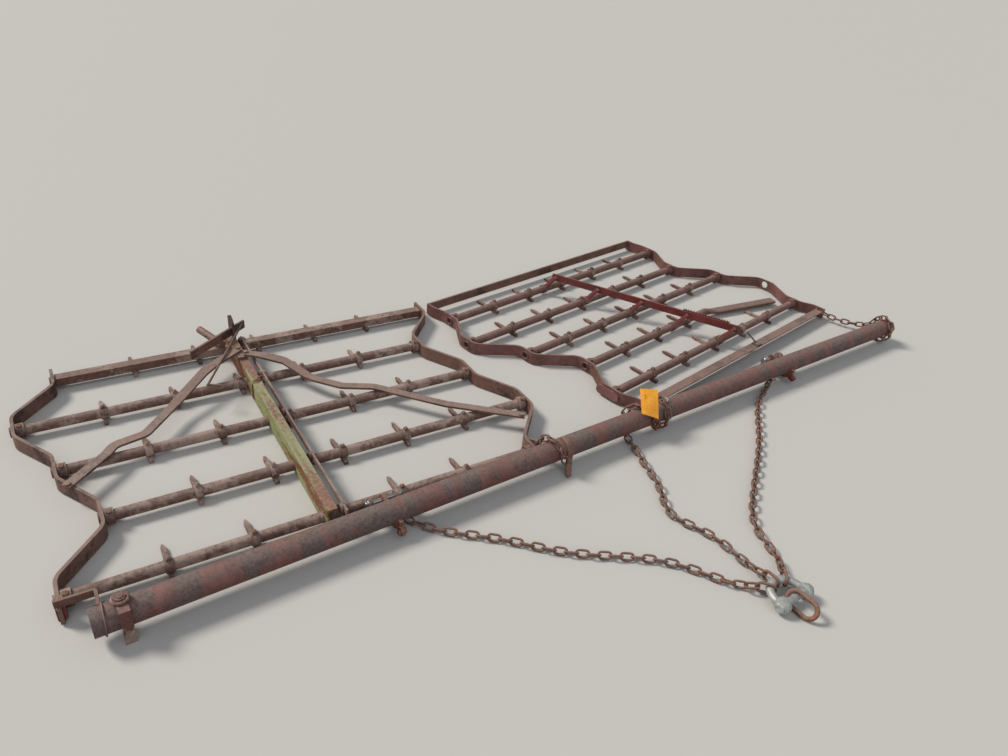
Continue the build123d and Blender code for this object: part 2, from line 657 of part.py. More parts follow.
# Right section
def build_right():
    """Rails, end bars, tooth bars, rockers and slanted link bar of the right section."""
    made = {}
    rear_v = right_bars[-1][0] + RIGHT_REAR
    stations = [(-RIGHT_FRONT, RIGHT_FRONT_SHIFT)] + right_bars + [(rear_v, RIGHT_REAR_SHIFT)]
    for name, side in (("right_inner_rail", -1), ("right_outer_rail", 1)):
        points = []
        for i, (v, shift) in enumerate(stations):
            u = shift + side * right_half
            points.append((u, v - (RIGHT_STRAIGHT if i > 0 else ANGLE_SIZE) / 2))
            points.append((u, v + RIGHT_STRAIGHT / 2 if i < len(stations) - 1 else rear_v))
        rail = strip(points, RIGHT_BEND, RIGHT_RAIL_THICKNESS, rail_bottom, rail_top)
        for v, shift in right_bars:
            u = shift + side * right_half
            rail -= rod_x(pipe_radius + BEARING_GAP, u - 20, u + 20, v, axis_z)
        tip_u = RIGHT_FRONT_SHIFT + side * right_half
        rail -= rod_x(TIE_HOLE, tip_u - 20, tip_u + 20, -RIGHT_TIE, RIGHT_HINGE_Z)
        made[name] = [rail]
    inside = right_half - RIGHT_RAIL_THICKNESS / 2
    front_u = RIGHT_FRONT_SHIFT
    short = inside - ANGLE_CUT_BACK
    top = box(
        front_u - short, front_u + short, -RIGHT_FRONT - ANGLE_SIZE / 2, -RIGHT_FRONT + ANGLE_SIZE / 2,
        ANGLE_TOP - ANGLE_THICKNESS, ANGLE_TOP,
    )
    web = box(
        front_u - inside, front_u + inside,
        -RIGHT_FRONT + ANGLE_SIZE / 2 - ANGLE_THICKNESS, -RIGHT_FRONT + ANGLE_SIZE / 2,
        ANGLE_TOP - ANGLE_SIZE, ANGLE_TOP,
    )
    made["right_front_angle"] = [top + web]
    rear_u = RIGHT_REAR_SHIFT
    made["right_rear_bar"] = [
        box(
            rear_u - inside, rear_u + inside, rear_v - REAR_BAR_THICKNESS, rear_v,
            rail_top - REAR_BAR_HEIGHT, rail_top,
        )
    ]
    pins = []
    for i, (v, shift) in enumerate(right_bars, 1):
        bent = i == 2
        bar = (bent_bar if bent else pipe_bar)(v, shift, right_half, RIGHT_RAIL_THICKNESS)
        pin_v, pin_z = crank_pin_place(v, RIGHT_CRANK_LENGTH, RIGHT_CRANK_LEAN)
        pin_u = RIGHT_LINK_U - RIGHT_LINK_SLANT * pin_v
        pins.append((pin_u, pin_v, pin_z))
        made[f"right_tooth_bar_{i}"] = [bar + rocker(v, pin_u, pin_v, pin_z)]
        made[f"right_teeth_{i}"] = tooth_row(v, shift)[: BENT_TEETH if bent else TEETH_PER_BAR]
    made["right_link_bar"] = [right_link(pins)]
    made["right_anchor"] = [right_anchor(pins[0])]
    return {name: [right_place * solid for solid in solids] for name, solids in made.items()}


def bent_bar(v, shift, half_width, rail_thickness):
    """The damaged bar: sound up to BENT_START, then crushed flat and bent forward, clear of its rail."""
    sound = pipe_bar(v, shift, half_width, rail_thickness) & box(
        shift - 2 * half_width, BENT_START, v - 2 * pipe_radius, v + 2 * pipe_radius, 0, 2 * axis_z
    )
    way = Vector(BENT_END_U - BENT_FLAT_U, BENT_END_V - BENT_FLAT_V, 0)
    first = Plane(origin=(BENT_START, v, axis_z), x_dir=(0, 1, 0), z_dir=(1, 0, 0)) * Circle(pipe_radius)
    flat_place = Plane(origin=(BENT_FLAT_U, BENT_FLAT_V, BENT_Z), x_dir=Vector(0, 0, 1).cross(way), z_dir=way)
    flat = flat_place * RectangleRounded(BENT_WIDTH, BENT_THICKNESS, BENT_THICKNESS * 0.45)
    crush = loft([first.face(), flat.face()])
    return sound + crush + extrude(flat, way.length)


def right_anchor(pin):
    """A small plate on the front angle with a thin broken rod that leans toward the link bar."""
    foot = box(RIGHT_LINK_U + 43, RIGHT_LINK_U + 73, -RIGHT_FRONT - 15, -RIGHT_FRONT + 15, ANGLE_TOP, ANGLE_TOP + 6)
    low = Vector(RIGHT_LINK_U + 58, -RIGHT_FRONT, ANGLE_TOP + 3)
    high = Vector(pin[0] + 24, pin[1] - 46, pin[2] - 2)
    way = high - low
    return Pos(0, 0, SEAT_GAP) * (foot + extrude(Plane(origin=low, z_dir=way) * Circle(3), way.length))


def rocker(v, pin_u, pin_v, pin_z):
    """A triangular rocker: its foot clasps the pipe beside the link bar, its eye holds the pin."""
    lean = Plane(origin=(0, v, axis_z), x_dir=(1, 0, 0), z_dir=Vector(0, axis_z - pin_z, pin_v - v).normalized())
    height = math.hypot(pin_v - v, pin_z - axis_z)
    link_side = pin_u - ROCKER_CLEAR
    profile = Polygon(
        (pin_u - ROCKER_FOOT_FAR, 0),
        (pin_u - ROCKER_FOOT_NEAR, 0),
        (link_side, height - CRANK_EYE),
        (link_side, height + CRANK_EYE),
        (link_side - 1.5 * CRANK_EYE, height + CRANK_EYE),
        align=None,
    )
    plate = extrude(lean * profile, ROCKER_THICKNESS / 2, both=True)
    foot = rod_x(band_radius, pin_u - ROCKER_FOOT_FAR, pin_u - ROCKER_FOOT_NEAR, v, axis_z)
    pin = rod_x(CRANK_PIN_RADIUS, link_side - 2, pin_u + RIGHT_LINK_THICKNESS, pin_v, pin_z)
    bore = rod_x(pipe_radius - PIPE_WALL, pin_u - 2 * ROCKER_FOOT_FAR, pin_u, v, axis_z)
    return plate + foot + pin - bore


def right_link(pins):
    """The slanted link bar, with a rack between two cheeks on its front half."""
    first = pins[0]
    last = pins[-1]
    slope = math.atan(RIGHT_LINK_SLANT)
    turn = Location((first[0], first[1], first[2]), (0, 0, math.degrees(slope)))
    length = (last[1] - first[1]) / math.cos(slope)
    half = RIGHT_LINK_THICKNESS / 2
    bar = box(-half, half, -CRANK_EYE - 12, length + CRANK_EYE + 12, -RIGHT_LINK_DEPTH / 2, RIGHT_LINK_DEPTH / 2)
    rack_low = -RIGHT_LINK_DEPTH / 2
    rack_high = rack_low + RACK_CHEEK_DEPTH
    cheeks = box(0, half + RACK_CHEEK, RACK_START, RACK_START + RACK_LENGTH, rack_low, rack_high)
    rack_step = RACK_LENGTH / RACK_TEETH
    notch = box(-1, half + RACK_CHEEK + 1, 0, rack_step / 2, 0, RACK_TOOTH_HEIGHT)
    rack_top = rack_high - RACK_TOOTH_HEIGHT
    notches = [Pos(0, RACK_START + rack_step * (i + 0.25), rack_top) * notch for i in range(RACK_TEETH)]
    link = turn * (bar + cheeks - notches)
    for pin_u, pin_v, pin_z in pins:
        link -= rod_x(CRANK_PIN_RADIUS + PIN_GAP, pin_u - 40, pin_u + 40, pin_v, pin_z)
    return link


parts.update(build_right())

def draft_lug(x):
    """A strap welded under the drawbar: an eye behind it, a drilled nose in front."""
    plate = Plane(origin=(x - LUG_THICKNESS / 2, 0, drawbar_z), x_dir=(0, 1, 0), z_dir=(1, 0, 0))
    outer = drawbar_radius + SEAT_GAP + LUG_BAND
    lower = Pos(0, -outer / 2) * Rectangle(2 * outer, outer)
    sling = Circle(outer) & lower
    eye_z = LUG_EYE_Z - drawbar_z
    nose_z = LUG_NOSE_Z - drawbar_z
    eye = Pos(LUG_EYE_Y, eye_z) * Circle(LUG_EYE_RADIUS)
    tongue = make_hull((eye + Pos(outer / 2, -outer / 4) * Circle(outer / 4)).edges())
    tip = Pos(LUG_NOSE_Y, nose_z) * Circle(LUG_NOSE_RADIUS)
    nose = make_hull((tip + Pos(-outer / 2, -outer / 2) * Circle(outer / 5)).edges())
    shape = sling + tongue + nose - Circle(drawbar_radius + SEAT_GAP)
    shape -= Pos(LUG_EYE_Y, eye_z) * Circle(CLEVIS_PIN_RADIUS + PIN_GAP)
    shape -= Pos(LUG_NOSE_Y, nose_z) * Circle(LUG_NOSE_BORE)
    return extrude(plate * shape, LUG_THICKNESS)


def clevis(x):
    """A clevis that stands on the ground under a lug's eye and carries it on its pin."""
    half = CLEVIS_INSIDE / 2
    leg_profile = make_hull(
        (
            Pos(LUG_EYE_Y, LUG_EYE_Z) * Circle(CLEVIS_EYE_RADIUS)
            + Pos(LUG_EYE_Y, CLEVIS_BASE_Z) * Circle(CLEVIS_BASE_Z)
        ).edges()
    )
    body = rod_x(CLEVIS_BASE_RADIUS, x - half - CLEVIS_LEG, x + half + CLEVIS_LEG, LUG_EYE_Y, CLEVIS_BASE_Z)
    for x0 in (x - half - CLEVIS_LEG, x + half):
        plane = Plane(origin=(x0, 0, 0), x_dir=(0, 1, 0), z_dir=(1, 0, 0))
        body += extrude(plane * leg_profile, CLEVIS_LEG)
    reach = half + CLEVIS_LEG + CLEVIS_PIN_OVERHANG
    return body + rod_x(CLEVIS_PIN_RADIUS, x - reach, x + reach, LUG_EYE_Y, LUG_EYE_Z)


for side, x in (("left", LEFT_LUG_X), ("right", RIGHT_LUG_X)):
    parts[f"{side}_draft_lug"] = [draft_lug(x)]
    parts[f"{side}_draft_clevis"] = [clevis(x)]

# Hitch: a bow shackle lying on the ground with the drawn link in front of its pin
bow_middle = (HITCH_LEFT_EYE_X + HITCH_RIGHT_EYE_X) / 2
bow_half = (HITCH_RIGHT_EYE_X - HITCH_LEFT_EYE_X) / 2
bow_round = (bow_half**2 + HITCH_BOW_DEPTH**2) / (2 * HITCH_BOW_DEPTH)
bow_centre = Vector(bow_middle, HITCH_PIN_Y + HITCH_BOW_DEPTH - bow_round, HITCH_PIN_Z)
bow_path = ThreePointArc(
    (HITCH_LEFT_EYE_X, HITCH_PIN_Y, HITCH_PIN_Z),
    (bow_middle, HITCH_PIN_Y + HITCH_BOW_DEPTH, HITCH_PIN_Z),
    (HITCH_RIGHT_EYE_X, HITCH_PIN_Y, HITCH_PIN_Z),
)
bow = sweep(Plane(origin=bow_path @ 0, z_dir=bow_path % 0) * Circle(HITCH_BOW_RADIUS), path=bow_path)
for x in (HITCH_LEFT_EYE_X, HITCH_RIGHT_EYE_X):
    half = HITCH_EYE_THICKNESS / 2
    bow += rod_x(HITCH_EYE_RADIUS, x - half, x + half, HITCH_PIN_Y, HITCH_PIN_Z)
pin_reach = HITCH_EYE_THICKNESS / 2 + HITCH_PIN_RADIUS
bow += rod_x(HITCH_PIN_RADIUS, HITCH_LEFT_EYE_X - pin_reach, HITCH_RIGHT_EYE_X + pin_reach, HITCH_PIN_Y, HITCH_PIN_Z)
parts["hitch_shackle"] = [bow]


def round_link(wire, inner_length, inner_width):
    """An oval link of round wire, long way along X, in the XY plane."""
    path = SlotCenterToCenter(inner_length - inner_width, inner_width + wire).wire()
    section = Plane(origin=path @ 0, z_dir=path % 0) * Circle(wire / 2)
    return sweep(section, path=path)


oval_reach = (OVAL_INNER_LENGTH - OVAL_INNER_WIDTH) / 2 + OVAL_BACK
oval_place = Location((bow_middle, HITCH_PIN_Y - oval_reach, HITCH_PIN_Z), (0, -OVAL_TILT, 0)) * Rot(0, 0, 90)
parts["hitch_link"] = [oval_place * round_link(OVAL_WIRE, OVAL_INNER_LENGTH, OVAL_INNER_WIDTH)]

# Connecting links on the shackle's bow, one for each bridle chain: direction seen from above
connector_turns = {"left": 130.0, "middle": 90.0, "right": 50.0}
connector_start = bow_round - HITCH_BOW_RADIUS - SEAT_GAP
connector_middle = connector_start + CONNECTOR_INNER_LENGTH / 2
connector_stop = connector_start + CONNECTOR_INNER_LENGTH
connectors = []
chain_ends = {}
for name, turn in connector_turns.items():
    away = Vector(math.cos(math.radians(turn)), math.sin(math.radians(turn)), 0)
    place = Location(bow_centre + away * connector_middle, (0, 0, turn)) * Rot(90, 0, 0)
    connectors.append(place * round_link(CONNECTOR_WIRE, CONNECTOR_INNER_LENGTH, CONNECTOR_INNER_WIDTH))
    first_link = connector_stop - SEAT_GAP + LINK_INNER_LENGTH / 2
    chain_ends[name] = (bow_centre + away * (first_link - link_pitch / 2), bow_centre + away * (first_link + 2 * link_pitch))
parts["hitch_connectors"] = connectors

# Bridle chains on the ground: turning points in plan between the drawbar and the shackle
bridle_routes = {
    "left": [(-858, 5), (-835, -35), (-800, -80), (-735, -139), (-632, -230), (-549, -317), (-439, -404), (-254, -556)],
    "middle": [(15, -70), (-20, -160), (-60, -270), (-120, -385), (-82, -500)],
    "right": [(870, 5), (820, -20), (770, -45), (700, -76), (630, -122), (510, -225), (376, -328), (176, -468), (70, -575)],
}


def route_points(points):
    """Close points of a smooth route through turning points, kept up at the height of a chain at rest."""
    path = Spline(*points)
    return [Vector(p.X, p.Y, max(p.Z, chain_z)) for p in sampled(path, int(path.length / 4))]


def bridle_end(name):
    """The last points of a bridle chain, rising to its connecting link."""
    end, before = chain_ends[name]
    return [(before.X, before.Y, chain_z), (end.X, end.Y, end.Z)]


for side, x in (("left", LEFT_LUG_X), ("right", RIGHT_LUG_X)):
    inward = -1 if side == "right" else 1
    hook_x = x + inward * CLEVIS_INSIDE / 4
    hook_y = LUG_EYE_Y + CLEVIS_BASE_RADIUS + SEAT_GAP - LINK_INNER_LENGTH / 2 + link_pitch / 2
    hook_z = CLEVIS_BASE_Z
    points = [(hook_x, hook_y, hook_z), (hook_x + inward * 12, hook_y - link_pitch, hook_z)]
    points += [(px, py, hook_z if py > -35 else chain_z) for px, py in bridle_routes[side]]
    points += bridle_end(side)
    joints = fitted_joints(route_points(points))
    head = [inward * roll for roll in (90, -9, 72, -27, 54)]
    parts[f"{side}_bridle_chain"] = chain(joints, head=head, tail=(-30, 75, 0))

ground = [(px, py, chain_z) for px, py in bridle_routes["middle"]] + bridle_end("middle")
winding = turn_about_drawbar(MIDDLE_WRAP_X1, MIDDLE_WRAP_X0, MIDDLE_WRAP_STOP, MIDDLE_WRAP_START, wrap_radius)
wound = joints_along(winding, wound_pitch)
laid = fitted_joints(route_points([(wound[-1].X, wound[-1].Y, wound[-1].Z)] + ground))
parts["middle_bridle_chain"] = chain(wound + laid[1:], tail=(-30, 75, 0), corner=0)

# Tie chains: each starts in the hole of its section's front tip and winds about the drawbar
right_holes = {
    name: (right_place * Pos(RIGHT_FRONT_SHIFT + side * right_half, -RIGHT_TIE, RIGHT_HINGE_Z)).position
    for name, side in (("right_inner_tie_chain", -1), ("right_outer_tie_chain", 1))
}
tie_holes = dict(right_holes)
tie_holes["left_inner_tie_chain"] = Vector(left_eye_x, HINGE_Y, HINGE_Z)
seat = (LINK_INNER_LENGTH + LINK_WIRE - link_pitch) / 2
for name, (x0, x1, start, stop, slack) in tie_windings.items():
    hole = tie_holes[name]
    winding = turn_about_drawbar(hole.X + x0, hole.X + x1, start, stop, wrap_radius + slack)
    leads = [Vector(hole.X + dx, hole.Y + dy, z) for dx, dy, z in tie_leads[name]]
    row = [hole] + leads + winding[:1]
    lead_path = Spline(*row, tangents=[row[1] - hole, winding[1] - winding[0]])
    track = sampled(lead_path, int(lead_path.length / 4) + 1) + winding[1:]
    second = joints_along(track, link_pitch + seat)[1]
    first = hole + (second - hole).normalized() * seat
    straight = [first] + joints_along(onward(track, second), link_pitch)
    hanging = [p for p in straight if math.hypot(p.Y, p.Z - drawbar_z) > wrap_radius + 2 * seat]
    straight = straight[: len(hanging) + 1]
    wound = joints_along(onward(track, straight[-1]), wound_pitch)
    parts[name] = chain(straight[:-1] + wound, head=(0, 81, -18, 63, -36), corner=0)

# Left end: the outer clip's wire loop round the drawbar, and the strap that stands on the ground
loop_points = [(outer_eye_x - 10, HINGE_Y, HINGE_Z), (outer_eye_x, HINGE_Y, HINGE_Z)]
loop_points += [(outer_eye_x + WIRE_SPREAD + 3, HINGE_Y - 2, HINGE_Z + 3)]
loop_radius = drawbar_radius + WIRE_RADIUS + 2 * WRAP_GAP
for angle in range(34, 331, 37):
    turn = math.radians(angle)
    x = outer_eye_x + WIRE_SPREAD * (1 - angle / 165)
    loop_points.append((x, loop_radius * math.cos(turn), drawbar_z + loop_radius * math.sin(turn)))
loop_points += [(outer_eye_x - WIRE_SPREAD - 2, HINGE_Y - 2, HINGE_Z - 8)]
loop_path = Spline(*loop_points)
loop_section = Plane(origin=loop_path @ 0, z_dir=loop_path % 0) * Circle(WIRE_RADIUS)
parts["left_outer_wire_loop"] = [sweep(loop_section, path=loop_path)]

strap = box(
    strap_x - STRAP_WIDTH / 2, strap_x + STRAP_WIDTH / 2,
    -drawbar_radius - SEAT_GAP - STRAP_THICKNESS, -drawbar_radius - SEAT_GAP,
    0, drawbar_z + drawbar_radius + SEAT_GAP + STRAP_THICKNESS,
)
strap += box(
    strap_x - STRAP_WIDTH / 2, strap_x + STRAP_WIDTH / 2,
    -drawbar_radius - SEAT_GAP - STRAP_THICKNESS, STRAP_BACK,
    drawbar_z + drawbar_radius + SEAT_GAP, drawbar_z + drawbar_radius + SEAT_GAP + STRAP_THICKNESS,
)
bolt_low = DRAWBAR_LIFT - SEAT_GAP - BOLT_HEAD_HEIGHT
bolt_high = drawbar_z + drawbar_radius + STRAP_THICKNESS + 2 * BOLT_HEAD_HEIGHT
strap += rod_z(BOLT_RADIUS, strap_x, 0, bolt_low, bolt_high - BOLT_HEAD_HEIGHT / 2)
strap += Pos(strap_x, 0, bolt_low) * extrude(RegularPolygon(BOLT_HEAD_RADIUS, 6), BOLT_HEAD_HEIGHT)
strap += rod_z(WASHER_RADIUS, strap_x, 0, bolt_high - 2 * BOLT_HEAD_HEIGHT, bolt_high - 1.7 * BOLT_HEAD_HEIGHT)
strap += Pos(strap_x, 0, bolt_high - 1.8 * BOLT_HEAD_HEIGHT) * extrude(
    RegularPolygon(BOLT_HEAD_RADIUS, 6), BOLT_HEAD_HEIGHT
)
parts["left_end_strap"] = [strap]

# Whole model, moved so that its origin is the middle of its footprint on the ground
whole = Compound([solid for solids in parts.values() for solid in solids])
reach = whole.bounding_box()
origin = Pos(-(reach.min.X + reach.max.X) / 2, -(reach.min.Y + reach.max.Y) / 2, -reach.min.Z)

os.makedirs("parts", exist_ok=True)
for name, solids in parts.items():
    moved = [origin * solid for solid in solids]
    shape = moved[0] if len(moved) == 1 else Compound(moved)
    export_step(shape, f"parts/{name}.step")

print("origin", origin.position)
print("size", reach.size)
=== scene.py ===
"""Drag harrow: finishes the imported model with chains, hitch, bolts, welds, wire and weathered metal."""

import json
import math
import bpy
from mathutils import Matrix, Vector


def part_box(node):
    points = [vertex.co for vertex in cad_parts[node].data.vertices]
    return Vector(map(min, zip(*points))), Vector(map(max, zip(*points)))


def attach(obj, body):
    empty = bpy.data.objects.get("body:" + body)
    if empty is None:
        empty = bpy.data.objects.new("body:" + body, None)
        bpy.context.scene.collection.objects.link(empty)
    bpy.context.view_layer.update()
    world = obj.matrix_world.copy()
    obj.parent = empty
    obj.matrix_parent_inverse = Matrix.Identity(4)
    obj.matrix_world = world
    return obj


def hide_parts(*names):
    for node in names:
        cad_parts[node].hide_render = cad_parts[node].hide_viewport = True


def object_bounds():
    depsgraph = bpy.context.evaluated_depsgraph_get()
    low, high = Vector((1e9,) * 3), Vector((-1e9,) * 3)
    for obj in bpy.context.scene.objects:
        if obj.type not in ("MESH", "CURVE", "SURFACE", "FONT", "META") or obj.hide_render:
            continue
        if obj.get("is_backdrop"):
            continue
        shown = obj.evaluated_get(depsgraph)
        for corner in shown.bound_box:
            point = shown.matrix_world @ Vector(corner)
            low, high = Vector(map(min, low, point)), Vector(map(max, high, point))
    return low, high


bl_info = {
    "name": "Drag harrow",
    "version": (1, 0, 0),
    "blender": (4, 5, 0),
    "location": "View3D > Sidebar > Harrow",
    "description": "Chains, hitch, fasteners, welds and weathered finishes for a two-section drag harrow",
    "category": "Object",
}

import bmesh
import bpy
import numpy as np
from bpy.props import FloatProperty, FloatVectorProperty, IntProperty, PointerProperty
from mathutils import Matrix

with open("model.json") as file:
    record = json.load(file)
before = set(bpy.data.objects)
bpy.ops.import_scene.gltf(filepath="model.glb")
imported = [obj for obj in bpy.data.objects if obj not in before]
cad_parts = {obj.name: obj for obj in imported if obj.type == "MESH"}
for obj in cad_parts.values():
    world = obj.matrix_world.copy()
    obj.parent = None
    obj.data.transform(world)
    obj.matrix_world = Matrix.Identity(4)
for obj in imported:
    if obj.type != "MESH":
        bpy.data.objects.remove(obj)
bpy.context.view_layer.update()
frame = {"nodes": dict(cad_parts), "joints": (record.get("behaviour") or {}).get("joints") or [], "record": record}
MM = 0.001
UP = np.array([0.0, 0.0, 1.0])
FULL_TURN = 2 * math.pi
# Corners nearer to each other than this, in metres, become one
WELD_GAP = 2e-6
# How many clouds, streaks, patches, freckles and pits a finish shows to a metre
CLOUDS, STREAKS, PATCHES, FRECKLES, PITS = 7, 17, 62, 420, 520
# The right bars' own nodes are red rockers above this height in metres
ROCKER_FOOT = 0.05

# Chain nodes and how many links each has
CHAINS = (
    ("left_bridle_chain", 34),
    ("middle_bridle_chain", 33),
    ("right_bridle_chain", 39),
    ("left_inner_tie_chain", 6),
    ("right_inner_tie_chain", 11),
    ("right_outer_tie_chain", 17),
)

# The drawbar in millimetres: heights of its underside and axis, radius of what lies on it, and its two lugs
PIPE_UNDERSIDE, PIPE_AXIS, ON_PIPE = 29.0, 65.5, 37.6
LUGS = (("left", -900.0), ("right", 930.0))

# The tooth bars: their numbers, the one that is a channel, the one that is bent, and the teeth along a bar
BAR_NUMBERS = range(1, 6)
CHANNEL_BAR, BENT_BAR = "left_bar_5", "right_bar_2"
TOOTH_PLACES = (-450, -225, 0, 225, 450)
TEETH_ON_BENT_BAR = 3

# Rings of heads and nuts in millimetres: height, radius, and 1 where the ring is cut by flats or 0 where it
# is round. Every profile closes in a point.
HEX_BOLT = ((0, 0, 0), (0, 8.2, 0), (0.6, 9.4, 1), (5.4, 9.4, 1), (6.4, 8.1, 0), (6.8, 0, 0))
NUT_ON_BOLT = (
    (0, 0, 0), (0, 8.4, 0), (0.7, 9.6, 1), (5.8, 9.6, 1), (6.6, 8.3, 0),
    (6.2, 5.2, 0), (6.2, 4.8, 0), (9.2, 4.8, 0), (9.8, 4.0, 0), (9.8, 0, 0),
)
BIG_HEAD = (
    (0, 0, 0), (0, 15.5, 0), (2.2, 15.5, 0), (2.2, 12.6, 0),
    (2.9, 13.6, 1), (9.6, 13.6, 1), (11.0, 11.6, 0), (11.4, 0, 0),
)
SQUARE_SCREW = (
    (-2, 0, 0), (-2, 5.2, 0), (3, 5.2, 0), (3, 7.0, 0),
    (3.6, 8.6, 1), (9.8, 8.6, 1), (11.2, 6.9, 0), (11.6, 0, 0),
)
ROUND_HEAD = ((0, 0, 0), (0, 6.2, 0), (0.9, 6.0, 0), (2.1, 4.6, 0), (2.9, 2.4, 0), (3.1, 0, 0))
DOMED_NUT = (
    (0, 0, 0), (0, 21.4, 0), (2.4, 22.4, 0), (6.2, 22.0, 0), (8.4, 20.2, 0), (9.2, 17.6, 0),
    (8.0, 15.8, 0), (8.0, 13.6, 0), (11.4, 13.0, 0), (12.8, 11.0, 0), (12.4, 9.2, 0),
    (10.8, 8.2, 0), (10.8, 6.6, 0), (14.2, 6.2, 0), (15.6, 4.2, 0), (16.0, 0, 0),
)
SHACKLE_EYE = (
    (-11, 0, 0), (-11, 19.5, 0), (-9.4, 22.4, 0), (-5.2, 23.8, 0), (0, 24.2, 0),
    (5.2, 23.8, 0), (9.4, 22.4, 0), (11, 19.5, 0), (11, 0, 0),
)
SHACKLE_HEAD = (
    (0, 0, 0), (0, 19.0, 0), (1.4, 19.8, 0), (3.2, 19.0, 0), (3.6, 15.8, 0), (9.2, 15.4, 0),
    (11.2, 13.6, 0), (11.6, 7.0, 0), (10.8, 6.2, 0), (10.6, 0, 0),
)
SHACKLE_NUT = (
    (0, 0, 0), (0, 14.6, 0), (0.8, 16.8, 1), (9.0, 16.8, 1),
    (10.4, 14.4, 0), (9.6, 9.8, 0), (11.2, 9.0, 0), (11.4, 0, 0),
)


class HarrowSizes(bpy.types.PropertyGroup):
    """Sizes of the pieces that are finished here."""

    chain_wire: FloatProperty(
        name="Chain wire", description="Thickness of the chains' round wire",
        default=0.0071, unit="LENGTH",
    )
    link_length: FloatProperty(
        name="Link length", description="Length inside a chain link", default=0.0324, unit="LENGTH"
    )
    link_width: FloatProperty(
        name="Link width", description="Width inside a chain link", default=0.0127, unit="LENGTH"
    )
    link_sides: IntProperty(
        name="Wire sides", description="Flat sides round the wire of a chain link",
        default=8, min=6, max=16,
    )
    weld_bulge: FloatProperty(
        name="Link weld", description="How far a link's weld swells its wire",
        default=0.14, subtype="FACTOR",
    )
    bow_wire: FloatProperty(
        name="Shackle bow", description="Thickness of the shackle's bow at its eyes",
        default=0.0214, unit="LENGTH",
    )
    weld_bead: FloatProperty(
        name="Weld bead", description="Radius of the weld beads on the frames",
        default=0.0032, unit="LENGTH",
    )
    tie_wire: FloatProperty(
        name="Tie wire", description="Thickness of the wire tied round the frames",
        default=0.0026, unit="LENGTH",
    )
    tag_width: FloatProperty(
        name="Tag width", description="Width of the blank tag on the drawbar",
        default=0.0655, unit="LENGTH",
    )
    tag_length: FloatProperty(
        name="Tag length", description="Length of the blank tag on the drawbar",
        default=0.107, unit="LENGTH",
    )


class HarrowColours(bpy.types.PropertyGroup):
    """Colours of the paints and rusts."""

    maroon: FloatVectorProperty(
        name="Maroon paint", description="Old paint of the drawbar", subtype="COLOR",
        default=(0.165, 0.056, 0.045),
    )
    mauve: FloatVectorProperty(
        name="Mauve paint", description="Faded paint of the right frame", subtype="COLOR",
        default=(0.185, 0.075, 0.066),
    )
    red: FloatVectorProperty(
        name="Red paint", description="Bright paint of the right link bar", subtype="COLOR",
        default=(0.175, 0.026, 0.025),
    )
    green: FloatVectorProperty(
        name="Green paint", description="Paint left on the carrier", subtype="COLOR",
        default=(0.28, 0.3, 0.12),
    )
    rust: FloatVectorProperty(
        name="Brown rust", description="Rust of the frames", subtype="COLOR",
        default=(0.17, 0.082, 0.06),
    )
    orange_rust: FloatVectorProperty(
        name="Orange rust", description="Fresh rust", subtype="COLOR", default=(0.27, 0.1, 0.045)
    )
    deep_rust: FloatVectorProperty(
        name="Deep rust", description="Oldest rust in the hollows", subtype="COLOR",
        default=(0.07, 0.036, 0.03),
    )
    bare: FloatVectorProperty(
        name="Bare steel", description="Dull steel under the drawbar's paint", subtype="COLOR",
        default=(0.13, 0.096, 0.093),
    )
    worn: FloatVectorProperty(
        name="Worn metal", description="Metal rubbed by soil", subtype="COLOR",
        default=(0.3, 0.2, 0.165),
    )
    zinc: FloatVectorProperty(
        name="Zinc", description="Dull zinc of the shackle and bolts", subtype="COLOR",
        default=(0.43, 0.45, 0.44),
    )
    # Pale colour laid on upward faces: dry soil and also a painted sky sheen on the tops
    dust_and_sky_sheen: FloatVectorProperty(
        name="Dust", description="Dry soil on top of everything", subtype="COLOR",
        default=(0.33, 0.262, 0.225),
    )
    tag: FloatVectorProperty(
        name="Tag", description="Colour of the blank tag", subtype="COLOR", default=(1.0, 0.37, 0.012)
    )


class HarrowStage(bpy.types.PropertyGroup):
    """Camera, floor and lights."""

    eye: FloatVectorProperty(
        name="Eye", description="Where the camera stands", subtype="TRANSLATION",
        default=(-1.666, -1.664, 1.601),
    )
    heading: FloatProperty(
        name="Heading", description="Turn of the view from the rear to the right", subtype="ANGLE",
        default=math.radians(38.37),
    )
    dip: FloatProperty(
        name="Dip", description="How far the view looks down", subtype="ANGLE",
        default=math.radians(32.38),
    )
    roll: FloatProperty(
        name="Roll", description="Lean of the camera", subtype="ANGLE", default=math.radians(6.46)
    )
    lens: FloatProperty(
        name="Lens", description="Focal length for a 36 mm sensor", default=27.0, unit="CAMERA"
    )
    floor: FloatVectorProperty(
        name="Floor", description="Colour of the floor", subtype="COLOR", default=(0.47, 0.458, 0.436)
    )
    key: FloatProperty(name="Key light", description="Strength of the main light", default=3.15, min=0.0)
    fill: FloatProperty(name="Fill light", description="Brightness all round", default=0.34, min=0.0)


def unit(vectors):
    """Each vector divided by its own length."""
    return vectors / np.linalg.norm(vectors, axis=-1, keepdims=True)


def node_points(name):
    """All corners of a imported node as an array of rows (x, y, z)."""
    mesh = frame["nodes"][name].data
    flat = np.empty(3 * len(mesh.vertices))
    mesh.vertices.foreach_get("co", flat)
    return flat.reshape(-1, 3)


PIPE_LOW, PIPE_HIGH = (np.array(list(corner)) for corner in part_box("drawbar_pipe"))
HOME = np.array([*(PIPE_LOW + PIPE_HIGH)[:2] / 2, PIPE_LOW[2] - PIPE_UNDERSIDE * MM])
JOINT = {joint["child"]: joint for joint in frame["joints"]}


def on_drawbar(x, y, z):
    """Points in millimetres from the drawbar's middle on the ground: x along it, y to the rear, z up."""
    return HOME + np.stack(np.broadcast_arrays(x, y, z), -1) * MM


